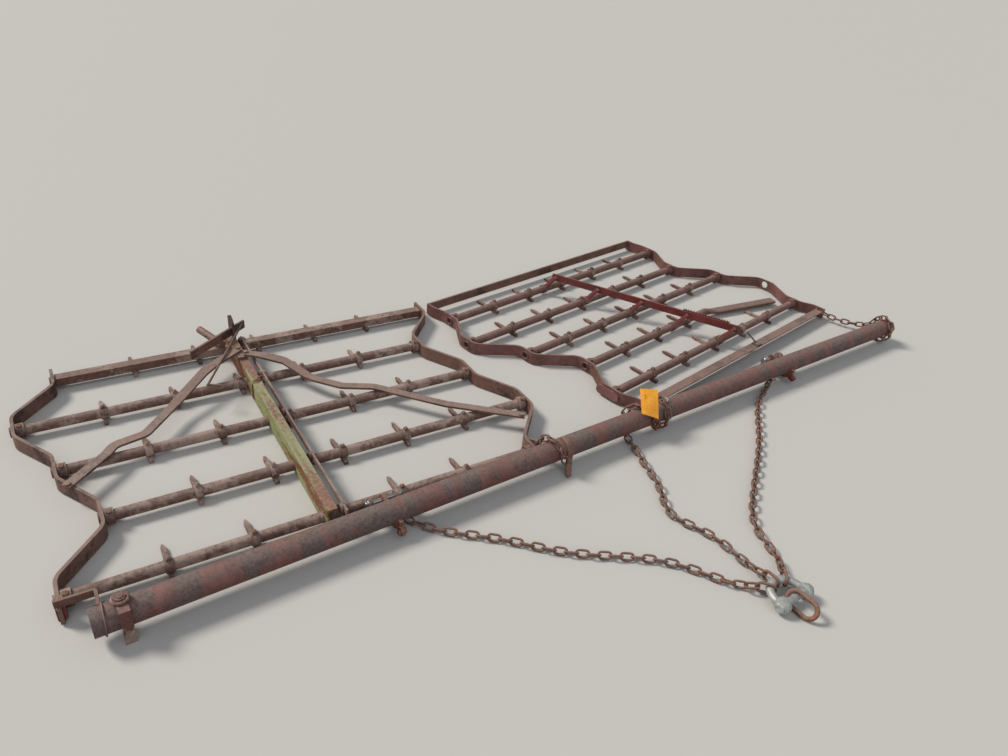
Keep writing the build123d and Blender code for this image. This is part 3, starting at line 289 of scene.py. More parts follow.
def section_axes(side):
    """A section's own directions, along its bars and back, from the axis of its third bar's joint."""
    along = -np.array(JOINT[f"{side}_bar_3"]["axis"])
    return along, np.array([-along[1], along[0], 0.0])


def from_start(side, start, u, v, z):
    """start + u along + v back + z up, for millimetres in a section's own directions."""
    along, back = section_axes(side)
    u, v, z = (np.asarray(part, float)[..., None] * MM for part in np.broadcast_arrays(u, v, z))
    return start + along * u + back * v + UP * z


def on_section(side, u, v, z):
    """Points in millimetres from the middle bar's middle: u along the bars, v back, z above the ground."""
    start = np.array(JOINT[f"{side}_bar_3"]["pos_m"]) * (1, 1, 0) + HOME * (0, 0, 1)
    return from_start(side, start, u, v, z)


def on_bar(bar, u, v, z):
    """Points in millimetres from a bar's own middle on its axis: u along it, v back, z up."""
    return from_start(bar.split("_")[0], np.array(JOINT[bar]["pos_m"]), u, v, z)


def grid_faces(points, round_rows=False, round_columns=True):
    """Four-cornered faces between neighbours of points[copy, row, column], closed round where asked."""
    index = np.arange(points[..., 0].size).reshape(points.shape[:-1])
    after = np.roll(index, -1, 1)
    here, after = (index, after) if round_rows else (index[:, :-1], after[:, :-1])
    beside, corner = np.roll(here, -1, 2), np.roll(after, -1, 2)
    quads = np.stack((here, beside, corner, after), -1)
    return (quads if round_columns else quads[:, :, :-1]).reshape(-1, 4)


def tube(path, radius, flat, sides, closed=False):
    """Round wire along paths[copy, step]: each ring is centre + r (cos a n + sin a b), where b is the flat
    direction made square to the path and n is square to both. An open wire ends in a point at either end."""
    path = path if path.ndim == 3 else path[None]
    way = unit(np.roll(path, -1, 1) - np.roll(path, 1, 1) if closed else np.gradient(path, axis=1))
    flat = np.broadcast_to(flat, path.shape)
    b = unit(flat - (flat * way).sum(-1, keepdims=True) * way)
    n = np.cross(b, way)
    radius = np.broadcast_to(radius, path.shape[:2])
    if not closed:
        path, n, b = (np.concatenate((a[:, :1], a, a[:, -1:]), 1) for a in (path, n, b))
        radius = np.concatenate((0 * radius[:, :1], radius, 0 * radius[:, :1]), 1)
    turn = np.linspace(0, FULL_TURN, sides, endpoint=False)[:, None]
    rings = np.cos(turn) * n[:, :, None] + np.sin(turn) * b[:, :, None]
    points = path[:, :, None] + radius[..., None, None] * rings
    return points.reshape(-1, 3), grid_faces(points, round_rows=closed)


def turned(places, axes, profile, flats=6, sides=24):
    """Heads and nuts: a point is place + axis h + r f (cos a, sin a), with
    f = cos(pi/n) / cos(a mod 2pi/n - pi/n) for n flats where the profile asks for them, and 1 where it is
    round."""
    places, axes = np.broadcast_arrays(np.atleast_2d(places), unit(np.atleast_2d(np.asarray(axes, float))))
    height, reach, cut = np.array(profile, float).T
    upright = np.abs(axes[:, 2:]) > 0.9
    across = unit(np.cross(axes, np.where(upright, [[1.0, 0.3, 0.0]], [[0.0, 0.0, 1.0]])))
    other = np.cross(axes, across)
    turn = np.linspace(0, FULL_TURN, sides, endpoint=False)
    half = math.pi / flats
    flat = math.cos(half) / np.cos(np.mod(turn, 2 * half) - half)
    ring = reach[:, None] * MM * (1 + cut[:, None] * (flat[None] - 1))
    spokes = np.cos(turn)[:, None] * across[:, None] + np.sin(turn)[:, None] * other[:, None]
    points = places[:, None, None] + axes[:, None, None] * height[:, None, None] * MM
    points = points + ring[..., None] * spokes[:, None]
    return points.reshape(-1, 3), grid_faces(points)


def squarish(turn, power):
    """A circle drawn out towards a square: sign(cos a) |cos a|^p and sign(sin a) |sin a|^p."""
    return [np.sign(wave) * np.abs(wave) ** power for wave in (np.cos(turn), np.sin(turn))]


def block(middles, reach, axes, crown=0.15):
    """Small plates: a superellipse x^4 + y^4 = 1 in plan at four heights, drawn in by the crown at its
    rims."""
    middles, axes = np.atleast_2d(middles), np.asarray(axes, float)
    turn = np.linspace(0, FULL_TURN, 24, endpoint=False)
    x, y = squarish(turn, 0.5)
    size = np.array([0, 1 - crown, 1, 1, 1 - crown, 0])[:, None]
    rise = np.array([-1, -1, -0.8, 0.8, 1, 1])[:, None] * np.ones_like(turn)
    local = np.stack((size * x * reach[0], size * y * reach[1], rise * reach[2]), -1) * MM
    points = middles[:, None, None] + local @ axes
    return points.reshape(-1, 3), grid_faces(points)


def joined(*shapes):
    """Several (points, faces) pairs as one, with the faces' numbers moved on."""
    counts = np.cumsum([0] + [len(points) for points, _ in shapes[:-1]])
    faces = np.concatenate([faces + count for (_, faces), count in zip(shapes, counts)])
    return np.concatenate([points for points, _ in shapes]), faces


def put(name, shape, body, finish, stands_for=(), crease=38.0):
    """A welded, outward-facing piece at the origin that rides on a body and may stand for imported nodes."""
    points, faces = shape
    mesh = bpy.data.meshes.new(name)
    mesh.from_pydata(points, [], faces.tolist())
    shell = bmesh.new()
    shell.from_mesh(mesh)
    bmesh.ops.remove_doubles(shell, verts=shell.verts, dist=WELD_GAP)
    bmesh.ops.recalc_face_normals(shell, faces=shell.faces)
    shell.to_mesh(mesh)
    shell.free()
    mesh.polygons.foreach_set("use_smooth", [True] * len(mesh.polygons))
    mesh.set_sharp_from_angle(angle=math.radians(crease))
    piece = bpy.data.objects.new(name, mesh)
    bpy.context.scene.collection.objects.link(piece)
    mesh.materials.append(finish)
    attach(piece, body)
    if stands_for:
        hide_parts(*stands_for)


def add_node(tree, kind, sockets=None, **fields):
    """A shader node with its fields set, its constants on their sockets and its other sockets linked."""
    made = tree.nodes.new("ShaderNode" + kind)
    for field, value in fields.items():
        setattr(made, field, value)
    for socket, value in (sockets or {}).items():
        if isinstance(value, bpy.types.NodeSocket):
            tree.links.new(value, made.inputs[socket])
        else:
            made.inputs[socket].default_value = value
    return made


def mixed(tree, factor, first, second, blend="MIX"):
    """A colour between two others."""
    made = add_node(tree, "Mix", {0: factor, 6: first, 7: second}, data_type="RGBA", blend_type=blend)
    return made.outputs[2]


def noise(tree, where, scale, detail, rough):
    """A cloud pattern from 0 to 1."""
    sockets = {"Vector": where, "Scale": scale, "Detail": detail, "Roughness": rough}
    return add_node(tree, "TexNoise", sockets).outputs["Fac"]


def spread(tree, value, low, high, to_low=0.0, to_high=1.0):
    """A value stretched from one range to another and held inside it."""
    sockets = {"Value": value, "From Min": low, "From Max": high, "To Min": to_low, "To Max": to_high}
    return add_node(tree, "MapRange", sockets).outputs["Result"]


def maths(tree, operation, first, second):
    """One sum of two values."""
    return add_node(tree, "Math", {0: first, 1: second}, operation=operation).outputs[0]


def weathered(
    name, paint, rust, deep, dust_and_sky_sheen, cover, dust_and_sheen_amount,
    grain=1.0, stretch=(1, 1, 1), shine=0.5, relief=1.0, metal=0.0, crest=None,
):
    """Old paint over rust: clouds decide where paint is left, finer clouds mix two rusts, flakes edge the
    paint, freckles darken both, and a pale layer on what faces up is partly dry soil and partly a painted
    sky sheen that lightens the tops. A crest (height, paint) paints what is above it."""
    material = bpy.data.materials.new(name)
    material.use_nodes = True
    tree = material.node_tree
    surface = tree.nodes["Principled BSDF"]
    place = add_node(tree, "TexCoord").outputs["Object"]
    along = add_node(tree, "Mapping", {"Vector": place, "Scale": stretch}).outputs[0]
    cloud = noise(tree, along, CLOUDS * grain, 9, 0.64)
    patch = noise(tree, place, PATCHES * grain, 9, 0.72)
    freckle = noise(tree, place, FRECKLES, 4, 0.65)
    pits = add_node(tree, "TexVoronoi", {"Vector": place, "Scale": PITS}).outputs["Distance"]
    field = maths(tree, "ADD", maths(tree, "MULTIPLY", cloud, 0.7), maths(tree, "MULTIPLY", patch, 0.3))
    edge = 0.5 + 0.22 * (0.5 - cover)
    left = spread(tree, field, edge - 0.035, edge + 0.035)
    rusts = mixed(tree, spread(tree, patch, 0.3, 0.6), (*deep, 1), (*rust, 1))
    paler = [min(1.0, 1.2 * c + 0.012) for c in paint]
    darker = [0.72 * c for c in paint]
    streak = spread(tree, noise(tree, along, STREAKS * grain, 7, 0.66), 0.32, 0.68)
    paints = mixed(tree, streak, (*darker, 1), (*paler, 1))
    if crest:
        high = spread(tree, add_node(tree, "SeparateXYZ", {0: place}).outputs[2], crest[0], crest[0] + 0.003)
        paints = mixed(tree, high, paints, (*crest[1], 1))
        left = maths(tree, "MAXIMUM", left, maths(tree, "MULTIPLY", high, spread(tree, patch, 0.3, 0.4)))
    colour = mixed(tree, left, rusts, paints)
    shade = spread(tree, freckle, 0.32, 0.68, 0.62, 1.16)
    shades = add_node(tree, "CombineColor", {0: shade, 1: shade, 2: shade}).outputs[0]
    colour = mixed(tree, 1.0, colour, shades, "MULTIPLY")
    # Pale layer on upward-facing surfaces: partly dry soil, partly a painted sky sheen that lightens the tops
    upward = add_node(tree, "SeparateXYZ", {0: add_node(tree, "NewGeometry").outputs["Normal"]}).outputs[2]
    uneven = spread(tree, patch, 0.3, 0.66, 0.35, 1.0)
    top_dust_and_sheen = maths(tree, "MULTIPLY", spread(tree, upward, 0.1, 0.95), uneven)
    top_dust_and_sheen = maths(tree, "MULTIPLY", top_dust_and_sheen, dust_and_sheen_amount)
    colour = mixed(tree, top_dust_and_sheen, colour, (*dust_and_sky_sheen, 1))
    rough = spread(tree, left, 0, 1, 0.84, 0.84 - 0.5 * shine)
    height = maths(tree, "ADD", maths(tree, "MULTIPLY", left, 0.35), maths(tree, "MULTIPLY", patch, 0.6))
    height = maths(tree, "ADD", height, maths(tree, "MULTIPLY", freckle, 0.5))
    height = maths(tree, "ADD", height, maths(tree, "MULTIPLY", pits, 0.4))
    bump = add_node(tree, "Bump", {"Strength": 0.6, "Distance": MM * relief, "Height": height}).outputs[0]
    for socket, value in (("Base Color", colour), ("Roughness", rough), ("Normal", bump)):
        tree.links.new(value, surface.inputs[socket])
    surface.inputs["Metallic"].default_value = metal
    surface.inputs["Specular IOR Level"].default_value = 0.4
    return material


# Columns: finish, paint, rust, share of paint left, dust and painted sky sheen on top, grain, stretch, shine,
# relief, metal.
# A finish has the name of the record slot that it is for, apart from right_fitting_rust, loose_rust and
# bright_zinc.
FINISHES = (
    ("drawbar_paint", "maroon", "bare", 0.5, 0.34, 1.7, (1.5, 0.6, 0.6), 0.7, 0.8, 0.1),
    ("chain_rust", "rust", "orange_rust", 0.62, 0.3, 3.0, (1, 1, 1), 0.3, 1.0, 0.1),
    ("weathered_zinc", "zinc", "worn", 1.0, 0.2, 2.0, (1, 1, 1), 0.6, 0.5, 0.45),
    ("strap_rust", "worn", "maroon", 0.5, 0.4, 2.0, (1, 1, 1), 0.3, 1.0, 0.0),
    ("lever_rust", "rust", "deep_rust", 0.55, 0.3, 1.4, (1, 1, 1), 0.5, 1.0, 0.0),
    ("clip_red", "red", "rust", 0.35, 0.45, 2.0, (1, 1, 1), 0.4, 1.0, 0.0),
    ("link_rust", "rust", "orange_rust", 0.5, 0.35, 2.0, (1, 1, 1), 0.3, 1.0, 0.0),
    ("clevis_rust", "worn", "rust", 0.5, 0.35, 2.0, (1, 1, 1), 0.3, 1.0, 0.0),
    ("lug_rust", "red", "orange_rust", 0.4, 0.35, 2.0, (1, 1, 1), 0.3, 1.0, 0.0),
    ("green_over_rust", "green", "orange_rust", 0.46, 0.4, 1.5, (2.6, 0.3, 2.2), 0.4, 0.8, 0.0),
    ("left_rail_rust", "rust", "deep_rust", 0.75, 0.5, 1.0, (1, 1, 1), 0.6, 0.8, 0.1),
    ("left_bar_rust", "worn", "rust", 0.4, 0.5, 1.2, (1, 1, 1), 0.4, 0.8, 0.0),
    ("left_tooth_rust", "worn", "rust", 0.4, 0.5, 1.6, (1, 1, 1), 0.3, 1.0, 0.0),
    ("left_link_rust", "worn", "rust", 0.6, 0.5, 1.4, (1, 0.6, 1), 0.4, 0.8, 0.0),
    ("left_fitting_rust", "rust", "deep_rust", 0.75, 0.62, 1.6, (1, 1, 1), 0.6, 0.8, 0.0),
    ("right_rail_mauve", "mauve", "rust", 0.65, 0.45, 1.0, (1, 1, 1), 0.6, 0.8, 0.1),
    ("right_end_bar_rust", "rust", "deep_rust", 0.7, 0.42, 1.0, (1, 1, 1), 0.4, 0.8, 0.0),
    ("right_bar_rust", "mauve", "rust", 0.45, 0.4, 1.2, (1, 1, 1), 0.4, 0.8, 0.0),
    ("right_tooth_rust", "worn", "rust", 0.4, 0.45, 1.6, (1, 1, 1), 0.3, 1.0, 0.0),
    ("bright_red_paint", "red", "rust", 0.62, 0.26, 1.8, (1, 0.8, 1), 0.9, 0.8, 0.0),
    ("right_fitting_rust", "red", "rust", 0.5, 0.35, 2.0, (1, 1, 1), 0.4, 1.0, 0.0),
    ("loose_rust", "rust", "orange_rust", 0.5, 0.3, 2.0, (1, 1, 1), 0.3, 1.0, 0.0),
    ("bright_zinc", "zinc", "zinc", 1.2, 0.05, 2.0, (1, 1, 1), 1.1, 0.15, 0.9),
)


def finish_named(slot):
    """The weathered material for a row of FINISHES, made once."""
    known = bpy.data.materials.get("harrow_" + slot)
    if known:
        return known
    colours = bpy.context.scene.harrow_colours
    _, paint, rust, *rest = next(row for row in FINISHES if row[0] == slot)
    tones = (getattr(colours, tone)[:] for tone in (paint, rust, "deep_rust", "dust_and_sky_sheen"))
    crest = (ROCKER_FOOT, colours.red[:]) if slot == "right_bar_rust" else None
    return weathered("harrow_" + slot, *tones, *rest, crest=crest)


def facing(place, right, top, ahead):
    """Where a thing stands that looks along ahead: its columns are right, top and -ahead."""
    turn = Matrix(np.stack((right, top, -ahead), 1).tolist()).to_4x4()
    return Matrix.Translation(place) @ turn


class HARROW_OT_stage(bpy.types.Operator):
    """Floor, lights and the camera at the photographed viewing angle."""

    bl_idname = "harrow.stage"
    bl_label = "Stage"

    def execute(self, context):
        scene = context.scene
        stage = scene.harrow_stage
        floor_reach, lamp_distance, overcast = 400.0, 4.0, (0.9, 0.94, 1.0, 1)
        heading, dip, roll = stage.heading, stage.dip, stage.roll
        level = np.array([math.cos(heading), -math.sin(heading), 0.0])
        ahead = math.cos(dip) * np.array([math.sin(heading), math.cos(heading), 0.0]) - math.sin(dip) * UP
        over = np.cross(level, ahead)
        right = math.cos(roll) * level + math.sin(roll) * over
        top = math.cos(roll) * over - math.sin(roll) * level
        camera = bpy.data.objects.new("camera", bpy.data.cameras.new("camera"))
        camera.matrix_world = facing(stage.eye, right, top, ahead)
        camera.data.lens = stage.lens
        camera.data.sensor_width = 36.0
        scene.collection.objects.link(camera)
        scene.camera = camera
        low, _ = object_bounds()
        floor_mesh = bpy.data.meshes.new("floor")
        square = ((-1, -1), (1, -1), (1, 1), (-1, 1))
        corners = [(x * floor_reach, y * floor_reach, low.z) for x, y in square]
        floor_mesh.from_pydata(corners, [], [(0, 1, 2, 3)])
        floor = bpy.data.objects.new("floor", floor_mesh)
        scene.collection.objects.link(floor)
        plain = bpy.data.materials.new("floor")
        plain.use_nodes = True
        surface = plain.node_tree.nodes["Principled BSDF"]
        surface.inputs["Base Color"].default_value = (*stage.floor, 1)
        surface.inputs["Roughness"].default_value = 0.9
        floor_mesh.materials.append(plain)
        floor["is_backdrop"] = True
        # Columns: name, beam, softness, share of the key's strength, colour
        lights = (
            ("key", (0.55, -0.62, -0.8), 0.3, 1.0, (1.0, 0.95, 0.87)),
            ("front", (0.2, 0.8, -0.75), 1.2, 0.28, (0.93, 0.96, 1.0)),
        )
        for name, beam, softness, share, colour in lights:
            lamp = bpy.data.lights.new(name, "SUN")
            lamp.energy, lamp.angle, lamp.color = stage.key * share, softness, colour
            beam = unit(np.array(beam))
            side = unit(np.cross(beam, UP))
            holder = bpy.data.objects.new(name, lamp)
            holder.matrix_world = facing(-lamp_distance * beam, side, np.cross(side, beam), beam)
            scene.collection.objects.link(holder)
        world = bpy.data.worlds.new("studio")
        world.use_nodes = True
        sky = world.node_tree.nodes["Background"]
        sky.inputs["Color"].default_value = overcast
        sky.inputs["Strength"].default_value = stage.fill
        scene.world = world
        scene.view_settings.view_transform = "Standard"
        return {"FINISHED"}


class HARROW_OT_chains(bpy.types.Operator):
    """Welded links of round wire in the place of every packed link: two half circles and two straights, laid
    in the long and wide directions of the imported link's corners."""

    bl_idname = "harrow.chains"
    bl_label = "Chains"

    def execute(self, context):
        sizes = context.scene.harrow_sizes
        wire = sizes.chain_wire / 2
        bend = sizes.link_width / 2 + wire
        straight = (sizes.link_length - sizes.link_width) / 2
        arc = np.linspace(-math.pi / 2, math.pi / 2, 7)
        weld = np.array([1.0, 0.0, -1.0]) * wire * 0.8
        x = np.concatenate((straight + bend * np.cos(arc), weld, -straight - bend * np.cos(arc)))
        y = np.concatenate((bend * np.sin(arc), np.full(len(weld), bend), -bend * np.sin(arc)))
        thick = np.ones(len(x))
        thick[len(arc) + 1] += sizes.weld_bulge
        for node, links in CHAINS:
            corners = node_points(node).reshape(links, -1, 3)
            middle = corners.mean(1, keepdims=True)
            axes = np.linalg.svd(corners - middle, full_matrices=False)[2]
            path = middle + x[:, None] * axes[:, None, 0] + y[:, None] * axes[:, None, 1]
            shape = tube(path, wire * thick, axes[:, None, 2], sizes.link_sides, closed=True)
            rusty = finish_named("chain_rust")
            put(node + "_links", shape, "drawbar", rusty, [node], crease=60)
        return {"FINISHED"}


class HARROW_OT_shackle(bpy.types.Operator):
    """The zinc bow shackle: an arc through both eyes whose wire swells as sin^2 to its middle, the pin, its
    flanged head and its nut."""

    bl_idname = "harrow.shackle"
    bl_label = "Shackle"

    def execute(self, context):
        wire = context.scene.harrow_sizes.bow_wire / 2
        left_eye, right_eye, pin_y, pin_z = -124.0, -24.0, -815.0, 27.5
        half_eye, pin_radius, bow_depth, most_swell = 11, 0.0108, 70.0, 0.22
        half_span = (right_eye - left_eye) / 2
        bow_radius = (half_span**2 + bow_depth**2) / (2 * bow_depth)
        middle_x, middle_y = (left_eye + right_eye) / 2, pin_y + bow_depth - bow_radius
        foot = math.asin(1 - bow_depth / bow_radius)
        turn = np.linspace(math.pi - foot, foot, 25)
        path = on_drawbar(middle_x + bow_radius * np.cos(turn), middle_y + bow_radius * np.sin(turn), pin_z)
        swell = 1 + most_swell * np.sin(np.linspace(0, math.pi, len(turn))) ** 2
        bow = tube(path, wire * swell, UP, 16)
        eyes = turned(on_drawbar([left_eye, right_eye], pin_y, pin_z), [1, 0, 0], SHACKLE_EYE, sides=36)
        pin = tube(on_drawbar(np.linspace(left_eye, right_eye, 8), pin_y, pin_z), pin_radius, UP, 20)
        head = turned(on_drawbar(left_eye - half_eye, pin_y, pin_z), [-1, 0, 0], SHACKLE_HEAD, sides=36)
        nut = turned(on_drawbar(right_eye + half_eye, pin_y, pin_z), [1, 0, 0], SHACKLE_NUT, sides=36)
        shape = joined(bow, eyes, pin, head, nut)
        put("shackle", shape, "drawbar", finish_named("weathered_zinc"), ["hitch_shackle"])
        low, high = (np.array(list(corner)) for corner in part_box("hitch_shackle"))
        most_past = 0.02
        if np.any(shape[0].min(0) < low - most_past) or np.any(shape[0].max(0) > high + most_past):
            raise RuntimeError("the shackle isn't where its node is")
        return {"FINISHED"}


def pin_end(side, number):
    """Where a crank's pin ends: its bar's node is widest along the bar near the pin's height."""
    bar = f"{side}_bar_{number}"
    along, back = section_axes(side)
    reach = {"left": (-22.5, 39.0), "right": (-39.7, 63.6)}[side]
    pin_radius = 5.6
    local = node_points(f"{side}_tooth_bar_{number}") - np.array(JOINT[bar]["pos_m"])
    across = np.stack((local @ back, local[:, 2]), -1) / MM
    near = np.hypot(across[:, 0] - reach[0], across[:, 1] - reach[1]) < pin_radius
    if not near.any():
        raise RuntimeError(f"{bar} has no pin where one is expected")
    return on_bar(bar, (local[near] @ along).max() / MM, *reach)


def fit_bars(side, collar_u):
    """Square set screws that lean forward on the collars, and round heads on the tooth clamps."""
    collar_radius, clamp_top, tilt = 23.4, 28.3, math.radians(24)
    lean = math.cos(tilt) * UP - math.sin(tilt) * section_axes(side)[1]
    for number in BAR_NUMBERS:
        bar = f"{side}_bar_{number}"
        if bar == CHANNEL_BAR:
            continue
        bent = bar == BENT_BAR
        ends = [-collar_u] if bent else [-collar_u, collar_u]
        teeth = TOOTH_PLACES[:TEETH_ON_BENT_BAR] if bent else TOOTH_PLACES
        seat = on_bar(bar, ends, -collar_radius * math.sin(tilt), collar_radius * math.cos(tilt))
        screws = turned(seat, lean, SQUARE_SCREW, flats=4)
        heads = turned(on_bar(bar, teeth, 0, clamp_top), UP, ROUND_HEAD, sides=16)
        put(f"{bar}_screws", joined(screws, heads), bar, finish_named("link_rust"))


def fit_lug(side, x):
    """A clevis's long bolt with its two big heads, and the hexagon heads on both sides of a lug's nose."""
    bolt_y, bolt_z, bolt_radius, bolt_half, clevis_half = 62, 62, 0.0084, 50, 48.2
    nose_y, nose_z, nose_half = -54, 30, 6.2
    path = on_drawbar(np.linspace(x - bolt_half, x + bolt_half, 6), bolt_y, bolt_z)
    shank = tube(path, bolt_radius, UP, 18)
    head = turned(on_drawbar(x - clevis_half, bolt_y, bolt_z), [-1, 0, 0], BIG_HEAD)
    nut = turned(on_drawbar(x + clevis_half, bolt_y, bolt_z), [1, 0, 0], BIG_HEAD)
    shape = joined(shank, head, nut)
    put(f"{side}_clevis_bolt", shape, "drawbar", finish_named("bright_zinc"))
    spots = on_drawbar([x - nose_half, x + nose_half], nose_y, nose_z)
    nose = turned(spots, [[-1, 0, 0], [1, 0, 0]], HEX_BOLT)
    put(f"{side}_lug_bolt", nose, "drawbar", finish_named("lug_rust"))


class HARROW_OT_bolts(bpy.types.Operator):
    """Screws and heads on the bars, nuts on the pins, bolts of the clevises, lugs and braces, the lap plate
    of the right inner rail, the nut at its tie and the end strap's domed nut."""

    bl_idname = "harrow.bolts"
    bl_label = "Bolts"

    def execute(self, context):
        fit_bars("left", 689.5)
        fit_bars("right", 686.5)
        # Columns: side, finish, record slot
        pins = (
            ("left", "left_link_rust", "left_link_rust"),
            ("right", "right_fitting_rust", "bright_red_paint"),
        )
        for number in BAR_NUMBERS:
            for side, finish, slot in pins:
                nut = turned(pin_end(side, number), section_axes(side)[0], NUT_ON_BOLT)
                put(f"{side}_pin_nut_{number}", nut, f"{side}_bar_{number}", finish_named(finish))
        for side, x in LUGS:
            fit_lug(side, x)
        along, back = section_axes("right")
        lap_middle, lap_reach = on_section("right", -643.5, -384, 30), (54, 20, 1.6)
        cap = block(lap_middle, lap_reach, np.stack((back, UP, along)))
        put("lap_plate", cap, "right_section", finish_named("right_rail_mauve"))
        nut = turned(on_drawbar(216.0, 4.0, 108.0), [-0.4, -0.6, 0.7], NUT_ON_BOLT)
        put("tie_bolt_nut", nut, "drawbar", finish_named("bright_zinc"))
        dome = turned(on_drawbar(-1628.0, 0.0, 110.0), UP, DOMED_NUT, sides=40)
        put("end_domed_nut", dome, "drawbar", finish_named("strap_rust"))
        brace_tops = on_section("left", [-60, -44], [385, 348], 101.3)
        brace_feet = on_section("left", [-682, 714], [-116, -366], 63.3)
        heads = turned(np.concatenate((brace_tops, brace_feet)), UP, HEX_BOLT)
        put("brace_bolts", heads, "left_section", finish_named("left_fitting_rust"))
        return {"FINISHED"}


class HARROW_OT_welds(bpy.types.Operator):
    """Weld beads where the flat bars and lugs are joined: the radius is 0.82 + 0.3 |sin 14 pi s| of a bead's,
    less 0.35 (2 s - 1)^8 towards its ends."""

    bl_idname = "harrow.welds"
    bl_label = "Weld beads"

    def execute(self, context):
        bead = context.scene.harrow_sizes.weld_bead
        steps = np.linspace(0, 1, 33)
        ripple = bead * (0.82 + 0.3 * np.abs(np.sin(steps * 14 * math.pi)) - 0.35 * (2 * steps - 1) ** 8)
        half_lug = 7.5
        turn = np.linspace(math.radians(188), math.radians(352), 33)
        y, z = ON_PIPE * np.cos(turn), PIPE_AXIS + ON_PIPE * np.sin(turn)
        rings = [on_drawbar(x + edge, y, z) for _, x in LUGS for edge in (-half_lug, half_lug)]
        shape = joined(*(tube(ring, ripple, [1.0, 0, 0], 8) for ring in rings))
        put("lug_welds", shape, "drawbar", finish_named("lug_rust"))
        # Each bead's start and end, across, back and up in millimetres
        anchor = (((184, -550.5, 48.8), (212, -550.5, 48.8)), ((182.6, -549, 48.8), (182.6, -523, 48.8)))
        edges = ((-515.5, 46), (-521.5, 42))
        corners = [((u, v, 12), (u, v, top)) for v, top in edges for u in (-599.5, 799.5)]
        plate = [((u, 494, 83.2), (u, 554, 83.2)) for u in (-51.2, -40.8)]
        rear = [((u, 531.5, 19), (u, 531.5, 53)) for u in (-787.5, 611.5)]
        # Columns: name, side, record slot, beads
        seams = (
            ("anchor_weld", "right", "right_end_bar_rust", anchor),
            ("front_angle_weld", "right", "right_end_bar_rust", corners),
            ("notch_plate_weld", "left", "left_fitting_rust", plate),
            ("rear_bar_weld", "right", "right_end_bar_rust", rear),
        )
        for name, side, slot, ends in seams:
            beads = []
            for start, stop in np.array(ends, float):
                line = start + (stop - start) * steps[:, None]
                flat = section_axes(side)[1] if start[1] == stop[1] else UP
                beads.append(tube(on_section(side, *line.T), ripple, flat, 8))
            put(name, joined(*beads), f"{side}_section", finish_named(slot))
        return {"FINISHED"}


class HARROW_OT_wires(bpy.types.Operator):
    """Tie wire round the outer rail's tip and round the carrier: squarish turns that move back and waver as
    they go round, and two ends that twist round each other as helices."""

    bl_idname = "harrow.wires"
    bl_label = "Tie wire"

    def execute(self, context):
        wire = context.scene.harrow_sizes.tie_wire / 2
        back = section_axes("left")[1]
        along = np.linspace(0, 1, 40)
        # Columns: name, middle across, middle height, half width, half height, from, to, turns
        ties = (
            ("rail_tie_wire", -753.0, 30.6, 8.2, 27.6, -570.0, -556.0, 3),
            ("carrier_tie_wire", -54.0, 44.6, 19.6, 41.6, 164.0, 180.0, 2),
        )
        for name, u, z, wide, tall, start, stop, turns in ties:
            turn = np.linspace(0.25, turns + 0.3, 40 * turns) * FULL_TURN
            x, y = squarish(turn, 0.42)
            v = np.linspace(start, stop, len(turn)) + 1.5 * np.sin(1.7 * turn)
            strands = [on_section("left", u + wide * x, v, z + tall * y)]
            for phase in (0.0, math.pi):
                twist = 24 * along + phase
                out, rise = u + 4 + 22 * along, z + tall + 4 + 6 * np.sin(3 * along)
                strands.append(on_section("left", out + 2 * np.cos(twist), stop + 2 * np.sin(twist), rise))
            shape = joined(*(tube(strand, wire, back, 8) for strand in strands))
            put(name, shape, "left_section", finish_named("loose_rust"))
        return {"FINISHED"}


def tag_card(width, length, axes):
    """A card of two grids w a over + l b along + h lean, 1.2 mm apart: b is a tenth shorter at the cut
    corner and h = 20 (1 - a) b + 2 sin(pi a) bends it. Returns its front grid and its closed shape."""
    across, down = np.meshgrid(np.linspace(0, 1, 13), np.linspace(0, 1, 17))
    down = down * (1 - 0.1 * (1 - across))
    bulge = 20 * (1 - across) * down + 2 * np.sin(math.pi * across)
    place = np.stack((width * across, length * down, bulge), -1) @ axes
    front = on_drawbar(109.4, 43.0, 166.0) + place * MM
    sheets = np.stack((front, front - axes[2] * 1.2 * MM))
    shapes = []
    skin = np.concatenate((sheets[0], sheets[1][:, ::-1]), 1)[None]
    shapes.append((skin.reshape(-1, 3), grid_faces(skin)))
    for row in (0, -1):
        edge = sheets[:, row][None]
        shapes.append((edge.reshape(-1, 3), grid_faces(edge, round_columns=False)))
    return front, joined(*shapes)


def strap_shape():
    """A flat bar bent over the drawbar: its middle goes round the pipe through 118 degrees and then hangs
    down in front, and an eight-cornered outline is carried along it, wide x side + thick y outwards."""
    along = np.linspace(0, 1, 30)
    wrapped, start, sweep, radius = 0.62, 78, 118, ON_PIPE + 2.0
    turn = np.radians(start + sweep * np.minimum(along / wrapped, 1))
    hang = np.maximum(along - wrapped, 0) / (1 - wrapped)
    y = radius * np.cos(turn) - 40 * hang**1.3
    z = PIPE_AXIS + radius * np.sin(turn) - 46 * np.sin(hang * math.pi / 2)
    middle = on_drawbar(-262 - 26 * hang, y, z)
    half = np.array([[-12.5, -2.6], [-11, -3.2], [11, -3.2], [12.5, -2.6]])
    wide, thick = np.concatenate((half, -half)).T * MM
    way = unit(np.gradient(middle, axis=0))
    side = np.broadcast_to([1.0, 0, 0], way.shape)
    outwards = np.cross(way, side)
    taper = np.clip(1.25 - 0.5 * hang, 0, 1)[:, None, None]
    rings = middle[:, None] + wide[:, None] * taper * side[:, None] + thick[:, None] * outwards[:, None]
    ends = [middle[end, None].repeat(len(wide), 0)[None] for end in (0, -1)]
    points = np.concatenate((ends[0], rings, ends[1]))[None]
    return points.reshape(-1, 3), grid_faces(points)


